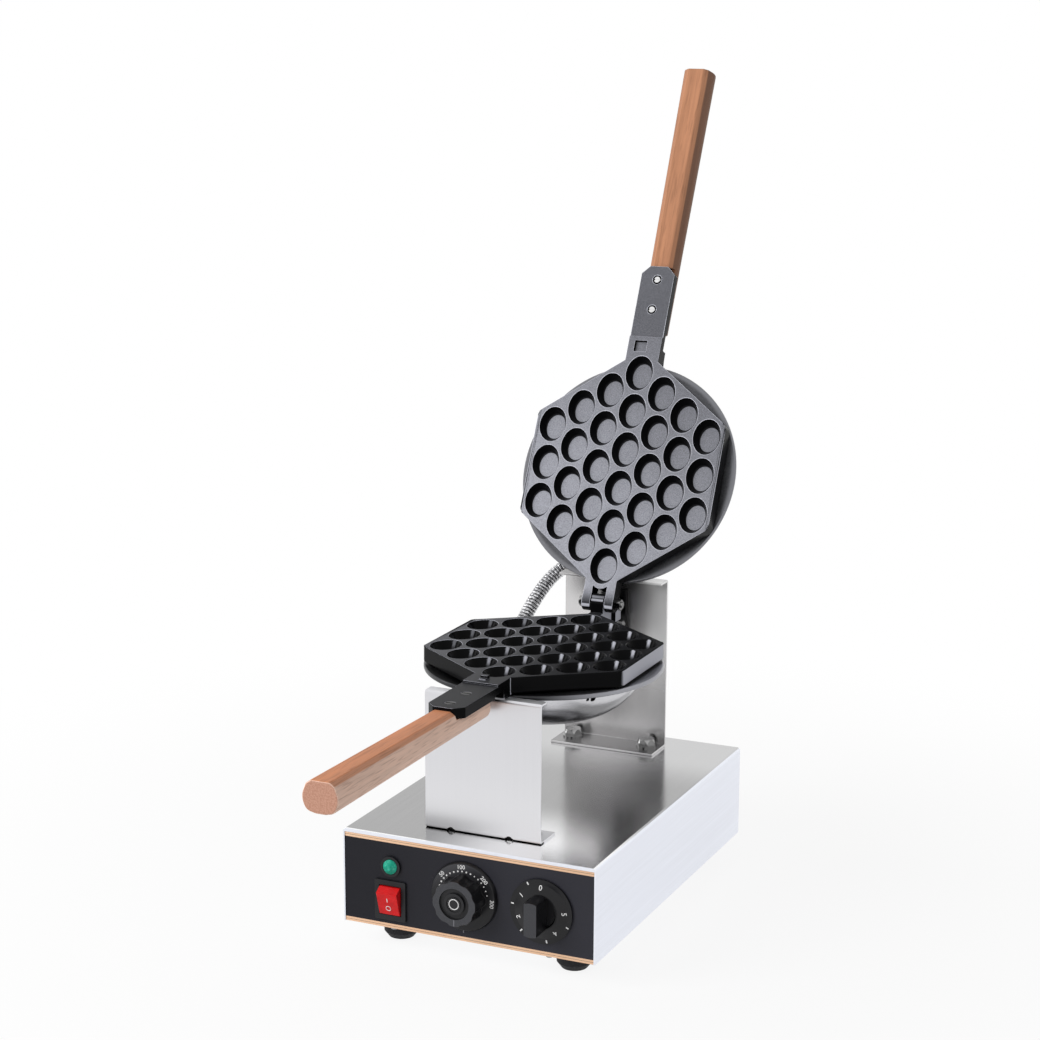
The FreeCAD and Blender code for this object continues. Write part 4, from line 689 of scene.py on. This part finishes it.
def fibre(name):
    f = Finish(name)
    f.set("Base Color", f.blend(f.noise(300.0, 4.0), (0.62, 0.60, 0.54), (0.86, 0.84, 0.78)))
    f.set("Roughness", f.noise(500.0) * 0.1 + 0.85)
    f.bump(f.noise(900.0, 4.0), 0.0005, 0.8)
    return f.material


def printed_film():
    """Satin black control film with a double copper line along its top and bottom edges, and painted light
    that lightens it towards the right.
    """
    f = Finish("film_black_copper", specular_ior_level=0.2)
    z = f.reach(UP)
    edge = (z < FILM_BOTTOM + COPPER_WIDE) + (z > FILM_TOP - COPPER_WIDE)
    gap_low = (z > FILM_BOTTOM + COPPER_GAP_AT) * (z < FILM_BOTTOM + COPPER_GAP_AT + COPPER_GAP)
    gap_high = (z < FILM_TOP - COPPER_GAP_AT) * (z > FILM_TOP - COPPER_GAP_AT - COPPER_GAP)
    line = edge * (1 - (gap_low + gap_high) * 0.75)
    weave = f.noise(2200.0, 2.0)
    # Painted light: the black film lightens from left to right.
    across = f.reach(ACROSS).span(-0.09, 0.09)
    dark = f.blend(weave.span(0.35, 0.7), (0.008, 0.008, 0.0115), (0.014, 0.014, 0.019))
    light = f.blend(weave.span(0.35, 0.7), (0.024, 0.024, 0.032), (0.034, 0.034, 0.044))
    copper = f.blend(f.noise(14.0, 2.0), (0.78, 0.47, 0.29), (0.92, 0.64, 0.44))
    f.set("Base Color", f.blend(line, f.blend(across, dark, light), copper))
    f.set("Metallic", line * 0.35)
    f.set("Roughness", weave * 0.15 + (0.36 - line * 0.06))
    f.bump(weave * (1 - edge), 0.00004, 0.5)
    return f.material


def ink(name, colour):
    f = Finish(name)
    f.set("Base Color", f.between(f.noise(1500.0), colour, 0.9, 1.0))
    f.set("Roughness", f.noise(1500.0) * 0.1 + 0.4)
    return f.material


# One finish per slot, and some nodes with their own

ALONG_BOX, UPRIGHT = (1600, 12, 1600), (1600, 1600, 12)
WARM_GREY = (1.0, 0.985, 0.99)

finishes = {
    "case_steel": brushed("case_brushed_steel", 0.92, 0.36, ALONG_BOX, 0.03, (0.955, 0.98, 1.06),
                          top=(0.36, 0.17)),
    "bracket_steel": brushed("bracket_brushed_steel", 0.72, 0.2, UPRIGHT, 0.015, WARM_GREY),
    "panel_black": printed_film(),
    "foot_rubber": moulded("foot_black_rubber", (0.012, 0.012, 0.013), 0.7, 500.0, 0.0001),
    "fastener_steel": plated("fastener_zinc", 0.36, 0.12),
    # The lower handle's screws are painted near black, as the shade of the holes they sit in.
    "grip_fastener": plated("grip_screw_dark", 0.012, 0.3),
    # The lower plate's coat is given far darker tones than the lid's, with near-black cup floors: painted
    # shade and reflection.
    "mould_cast": release_coat("lower_release_coat", UP, HINGE + Vector(UP) * LOWER_FACE_OUT * MM, FRONT,
                               lands=0.07, floors=0.008, tab=0.022, wear_and_highlight=0.5,
                               glow=((-1, 0, 0), -0.05, 0.10, 0.12, 1.5), side=(ACROSS, 0.6),
                               streak=((0, -0.868, 0.496), 0.36), flake=0.1, gloss=0.04),
    # The lower disc is painted dark to its left and bright to its right, as shade and reflection.
    "disc_cast": turned_disc("lower_disc_turned", 0.11, FRONT, (0.2, 1.6)),
    "cover_steel": brushed("cover_spun_steel", 0.62, 0.2, (90, 90, 1500), 0.06),
    "element_steel": plated("element_dull_tube", 0.3, 0.5, (1.0, 0.94, 0.86)),
    "plain_steel": plated("plain_turned_steel", 0.45, 0.34),
    "dark_steel": plated("blackened_steel", 0.05, 0.36),
    "pad_fibre": fibre("pressed_fibre"),
    "handle_wood": beech("lower_handle_beech", None, UP, (0.58, 0.235, 0.115), (0.86, 0.60, 0.48), FRONT),
    "hose_steel": hose_steel(),
    "gland_metal": plated("gland_nickel", 0.55, 0.3),
    "bush_brass": plated("bush_turned_brass", 0.62, 0.34, (1.0, 0.78, 0.42)),
    "knob_black": moulded("knob_satin_black", (0.012, 0.012, 0.014), 0.36, 1400.0),
    "switch_black": moulded("switch_black_plastic", (0.010, 0.010, 0.012), 0.42),
    # The rocker's faint emission is painted light that brightens its red.
    "rocker_red": see_through("rocker_clear_red", (0.66, 0.010, 0.012), 0.03),
    "lamp_green": see_through("lamp_clear_green", (0.01, 0.30, 0.20), 0.25, 420.0),
    "unit_steel": brushed("unit_pressed_can", 0.5, 0.4, (200, 200, 900), 0.08),
    "block_white": moulded("block_white_plastic", (0.78, 0.78, 0.75), 0.5),
}
own_finishes = {
    "lid_heat_disc": turned_disc("lid_disc_turned", 0.11, LID_HANDLE),
    "rear_bracket": brushed("rear_bracket_brushed_steel", 0.70, 0.24, UPRIGHT, 0.015, WARM_GREY, dull=0.6),
    "lid_handle_screws": plated("grip_screw_bright", 0.9, 0.12, heads=head_places()),
    "front_bracket": brushed("front_bracket_brushed_steel", 0.75, 0.34, UPRIGHT, 0.01, painted_foot_light=0.2),
    # The lid's coat is given far lighter tones than the lower plate's: painted reflection of the light in
    # front of it.
    "lid_plate": release_coat("lid_release_coat", LID_FACE, HINGE + LID_FACE * LID_FACE_OUT * MM, LID_HANDLE,
                              lands=0.28, floors=0.30, tab=0.15, wear_and_highlight=0.95,
                              glow=(LID_GLOW_WAY, lid_middle - GLOW_HALF, lid_middle + GLOW_HALF, 0.72, 1.48),
                              gloss=0.05),
    # The lid handle's side tone is far darker than its face: painted shade.
    "lid_handle": beech("lid_handle_beech", (LID_OPEN, 0, 0), LID_FACE, (0.50, 0.235, 0.13),
                        (0.26, 0.135, 0.085), LID_HANDLE),
    "thermostat_knob": knob_plastic("thermostat_knob_satin", THERMOSTAT_GRIP, 0.05, THERMOSTAT_Z),
    "timer_knob": knob_plastic("timer_knob_satin", TIMER_GRIP, 0.045, TIMER_Z),
}


def dress(piece, material):
    piece.data.materials.clear()
    piece.data.materials.append(material)


for name, node in nodes.items():
    given = node.data.materials[0].name
    chosen = own_finishes.get(name, finishes[next(slot for slot in finishes if given.startswith(slot))])
    for held in node.material_slots:
        held.material = chosen
dress(hose, finishes["hose_steel"])


# Eased edges: a merged copy of a node takes a fine bevel and stands for it

CUTTER_SIDES, CUTTER_CLEAR, CUTTER_OVER, MOUTH_SHARE = 96, 0.15, 0.5, 1.019
CORNER_R, CORNER_HIGH, CORNER_FROM_MIDDLE = 3 * MM, 6 * MM, 40 * MM
MERGE_WITHIN = 0.000002
FLAT_UNDER, SMOOTH_UNDER, EDGE_OVER = 0.4, 36, 38

plate_ways = {"lid_plate": (LID_FACE, LID_HANDLE, LID_FACE_OUT),
              "lower_plate": (Vector(UP), Vector(FRONT), LOWER_FACE_OUT)}
eased_edges = [("lid_plate", 0.55, "mould_cast", "lid"),
               ("lower_plate", 0.5, "mould_cast", "base"),
               ("front_bracket", 0.25, "bracket_steel", "base"),
               ("rear_bracket", 0.3, "bracket_steel", "base"),
               ("housing_cover", 0.3, "case_steel", "base"),
               ("switch_body", 0.35, "switch_black", "base"),
               ("rocker", 0.35, "rocker_red", "rocker"),
               ("thermostat_knob", 0.3, "knob_black", "thermostat_knob")]


def last_cup(name, face, handle, face_out):
    """The cup beside the hinge as a cutting body, a little smaller, so that the hinge arms end at its wall."""
    points = []
    for depth, share in ((-CUTTER_OVER, MOUTH_SHARE), (CUP_DEEP - CUTTER_CLEAR, FLOOR_SHARE)):
        for k in range(CUTTER_SIDES):
            a = 2 * math.pi * k / CUTTER_SIDES
            across = Vector((math.cos(a) * (CUP_ACROSS / 2 - CUTTER_CLEAR) * share, 0, 0))
            up = LAST_CUP + math.sin(a) * (CUP_ALONG / 2 - CUTTER_CLEAR) * share
            points.append(HINGE + (across + handle * up + face * (face_out - depth)) * MM)
    faces = [tuple(range(CUTTER_SIDES)), tuple(reversed(range(CUTTER_SIDES, 2 * CUTTER_SIDES)))]
    for k in range(CUTTER_SIDES):
        n = (k + 1) % CUTTER_SIDES
        faces.append((k, k + CUTTER_SIDES, n + CUTTER_SIDES, n))
    body = mesh_piece(name, points, faces)
    choose(body)
    bpy.ops.object.mode_set(mode="EDIT")
    bpy.ops.mesh.select_all(action="SELECT")
    bpy.ops.mesh.normals_make_consistent(inside=False)
    bpy.ops.object.mode_set(mode="OBJECT")
    return body


def clear_last_cup(piece, face, handle, face_out):
    cutter = last_cup(piece.name + "_cutter", face, handle, face_out)
    choose(piece)
    apply(piece, "cup", "BOOLEAN", operation="DIFFERENCE", solver="EXACT", object=cutter)
    bpy.data.objects.remove(cutter)


def round_corners(piece, face):
    """Rounds the upright corners at a plate's left and right, away from its neck and hinge."""
    weights = piece.data.attributes.new("bevel_weight_edge", "FLOAT", "EDGE")
    for edge in piece.data.edges:
        a, b = (piece.data.vertices[i].co for i in edge.vertices)
        upright = abs((b - a).normalized().dot(face)) > 0.98
        if upright and (b - a).length > CORNER_HIGH and abs(a.x) > CORNER_FROM_MIDDLE:
            weights.data[edge.index].value = 1.0
    apply(piece, "corners", "BEVEL", width=CORNER_R, segments=4, limit_method="WEIGHT",
          use_clamp_overlap=False)


def eased(name, width, body):
    piece = linked(name + "_eased", nodes[name].data.copy())
    piece.data.name = piece.name
    choose(piece)
    bpy.ops.object.mode_set(mode="EDIT")
    bpy.ops.mesh.select_all(action="SELECT")
    bpy.ops.mesh.remove_doubles(threshold=MERGE_WITHIN)
    bpy.ops.mesh.dissolve_limited(angle_limit=math.radians(FLAT_UNDER))
    bpy.ops.object.mode_set(mode="OBJECT")
    if name in plate_ways:
        clear_last_cup(piece, *plate_ways[name])
        round_corners(piece, plate_ways[name][0])
    apply(piece, "eased", "BEVEL", width=width * MM, segments=2, limit_method="ANGLE",
          angle_limit=math.radians(EDGE_OVER), use_clamp_overlap=False)
    smooth(piece, SMOOTH_UNDER)
    apply(piece, "level", "WEIGHTED_NORMAL", keep_sharp=True)
    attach(piece, body)
    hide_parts(name)


for name, width, slot_name, body in eased_edges:
    eased(name, width, body)


# Marks on the controls

INK_THICK = 0.05
LETTER_SIZE, LETTER_BOLD = 1.4, 0.015

white_ink = ink("dial_ink_white", (0.82, 0.82, 0.82))
grey_ink = ink("dial_ink_grey", (0.17, 0.17, 0.19))


def lay_on_front(piece, x, y, z, turn=0.0, tilt=0.0):
    """Stands a flat drawing upright on a face that looks to the front."""
    piece.matrix_world = (Matrix.Translation(spot(x, y, z)) @ Matrix.Rotation(turn, 4, "Y")
                          @ Matrix.Rotation(math.pi / 2 + tilt, 4, "X"))
    return settle(piece)


def word(text, high):
    bpy.ops.object.text_add()
    piece = bpy.context.active_object
    piece.data.body = text
    piece.data.size = high * MM * LETTER_SIZE
    piece.data.align_x = "CENTER"
    piece.data.align_y = "CENTER"
    piece.data.extrude = INK_THICK * MM
    piece.data.offset = LETTER_BOLD * high * MM
    piece.data.resolution_u = 3
    choose(piece)
    bpy.ops.object.convert(target="MESH")
    return bpy.context.active_object


def tick(wide, high):
    """A short ink stroke with softened corners."""
    clear_choice()
    bpy.ops.mesh.primitive_cube_add(size=1)
    piece = bpy.context.active_object
    piece.dimensions = (wide * MM, high * MM, 2 * INK_THICK * MM)
    bpy.ops.object.transform_apply(location=False, rotation=False, scale=True)
    apply(piece, "soft", "BEVEL", width=min(wide, high) * MM * 0.3, segments=2, affect="VERTICES")
    return piece


def dot(wide):
    clear_choice()
    bpy.ops.mesh.primitive_cylinder_add(vertices=14, radius=wide * MM / 2, depth=2 * INK_THICK * MM)
    return bpy.context.active_object


def ring(radius, wire, around, across):
    clear_choice()
    bpy.ops.mesh.primitive_torus_add(major_segments=around, minor_segments=across, major_radius=radius * MM,
                                     minor_radius=wire * MM)
    return bpy.context.active_object


def joined(name, parts, body, material):
    choose(*parts)
    if len(parts) > 1:
        bpy.ops.object.join()
    piece = bpy.context.active_object
    piece.name = name
    piece.data.name = name
    dress(piece, material)
    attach(piece, body)


def polar(cx, cz, r, degrees):
    a = math.radians(degrees)
    return cx + r * math.sin(a), cz + r * math.cos(a)


def thermostat_marks():
    """Dots and numbers on the thermostat's skirt, and a pointer on its grip."""
    face = -152.5
    first, step = -71, 9.87
    dot_r, number_r, pointer_r = 19.6, 22.6, 14.2
    parts = []
    for i in range(16):
        x, z = polar(THERMOSTAT_X, THERMOSTAT_Z, dot_r, first + i * step)
        parts.append(lay_on_front(dot(1.3 if i < 10 else 1.05), x, face, z))
    for text, deg in (("50", -48), ("100", -4), ("200", 47), ("300", 94)):
        x, z = polar(THERMOSTAT_X, THERMOSTAT_Z, number_r, deg)
        parts.append(lay_on_front(word(text, 3.1), x, face, z, math.radians(deg)))
    x, z = polar(THERMOSTAT_X, THERMOSTAT_Z, pointer_r, 180)
    pointer = lay_on_front(tick(0.7, 4.6), x, THERMOSTAT_GRIP, z)
    joined("thermostat_pointer", [pointer], "thermostat_knob", grey_ink)
    joined("thermostat_dial_marks", parts, "thermostat_knob", white_ink)


def timer_marks():
    """The timer's numbers lie on its sloping skirt, the strokes between them on its flat rim."""
    back, rim, cup, thick, rim_thick = -149.9, 24.0, 13.5, 3.4, 1.2
    lifted, number_r, stroke_r, step = 0.03, 18.0, 22.2, 27.4
    fall = thick / (rim - cup)
    parts = []
    for i in range(11):
        deg = -i * step
        if i % 2 == 0:
            x, z = polar(TIMER_X, TIMER_Z, number_r, deg)
            y = back - fall * (rim - number_r) - lifted
            parts.append(lay_on_front(word(str(i // 2), 3.8), x, y, z, math.radians(deg), -math.atan(fall)))
        else:
            x, z = polar(TIMER_X, TIMER_Z, stroke_r, deg)
            parts.append(lay_on_front(tick(1.0, 2.2), x, back - rim_thick - lifted, z, math.radians(deg)))
    joined("timer_dial_marks", parts, "timer_knob", white_ink)


def rocker_marks():
    """A stroke and a ring on the rocker's lower half, which slopes back towards its foot."""
    slope = math.radians(17)
    crest_y, crest_z = -157.3, 29.1
    stroke_z, ring_z = 23.8, 16.9

    def face_y(z):
        return crest_y + (crest_z - z) * math.tan(slope) - INK_THICK

    parts = [lay_on_front(tick(0.6, 3.2), ROCKER_X, face_y(stroke_z), stroke_z, 0, slope),
             lay_on_front(ring(1.9, 0.25, 32, 6), ROCKER_X, face_y(ring_z), ring_z, 0, slope)]
    joined("rocker_marks", parts, "rocker", white_ink)


def hub_ring():
    """A plain bright ring on the thermostat knob's cap."""
    made = ring(3.7, 0.35, 48, 8)
    place = spot(THERMOSTAT_X, 0, THERMOSTAT_Z)
    place.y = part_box("knob_cap")[0][1]
    made.matrix_world = Matrix.Translation(place) @ Matrix.Rotation(math.pi / 2, 4, "X")
    joined("knob_cap_ring", [settle(made)], "thermostat_knob", white_ink)


def film_index():
    """The fixed mark on the film under the thermostat's skirt."""
    mark = lay_on_front(tick(0.7, 3.4), -2.2, -150.55, 9.0)
    joined("film_index_mark", [mark], "base", grey_ink)


rocker_marks()
hub_ring()
film_index()
thermostat_marks()
timer_marks()


# Studio: a pale floor that keeps the shadow, white air and two lamps

FLOOR_SIZE, FLOOR_DROP = 14, 0.0004
FLOOR_GLOW = (0.25, 0.78, 0.88, 1.0)
AIR_LIGHT = 0.45


def studio_floor():
    clear_choice()
    bpy.ops.mesh.primitive_plane_add(size=FLOOR_SIZE, location=(0, 0, -FLOOR_DROP))
    floor = bpy.context.active_object
    floor.name = "studio_floor"
    f = Finish("floor_pale")
    f.set("Base Color", f.blend(f.noise(3.0), (0.86, 0.86, 0.86), (0.88, 0.88, 0.88)))
    f.set("Roughness", 0.9)
    x, y = f.reach(ACROSS), f.reach(BACK)
    away = ((x * x + y * y) ** 0.5).span(*FLOOR_GLOW)
    glow = f.node("ShaderNodeEmission", None, {"Color": (1, 1, 1), "Strength": 1.0})
    mix = f.node("ShaderNodeMixShader", None,
                 {0: f.seen_straight() * away, 1: Value(f, f.body.outputs[0]), 2: glow})
    f.feed(f.only("OUTPUT_MATERIAL").inputs["Surface"], mix)
    floor.data.materials.append(f.material)


def studio_air():
    """White where it is seen straight, and dimmer as a light."""
    world = bpy.data.worlds.new("studio_air")
    world.use_nodes = True
    bpy.context.scene.world = world
    air = Tree(world.node_tree)
    background = air.only("BACKGROUND")
    air.feed(background.inputs["Color"], (1, 1, 1))
    air.feed(background.inputs["Strength"], air.seen_straight() * (1 - AIR_LIGHT) + AIR_LIGHT)


def lamp(name, place, target, size, power):
    data = bpy.data.lights.new(name, "AREA")
    data.shape = "RECTANGLE"
    data.size, data.size_y = size
    data.energy = power
    made = linked(name, data)
    made.location = place
    made.rotation_mode = "QUATERNION"
    made.rotation_quaternion = (Vector(target) - Vector(place)).to_track_quat("-Z", "Y")
    return made


studio_floor()
studio_air()
key = lamp("key_window", (-1.35, -1.55, 1.35), (0, 0.1, 0.3), (1.2, 1.2), 38)
key.visible_glossy = False
lamp("left_strip", (-1.5, -0.15, 0.75), (0, 0, 0.22), (0.22, 1.2), 3)

bpy.context.scene.view_settings.view_transform = "Standard"
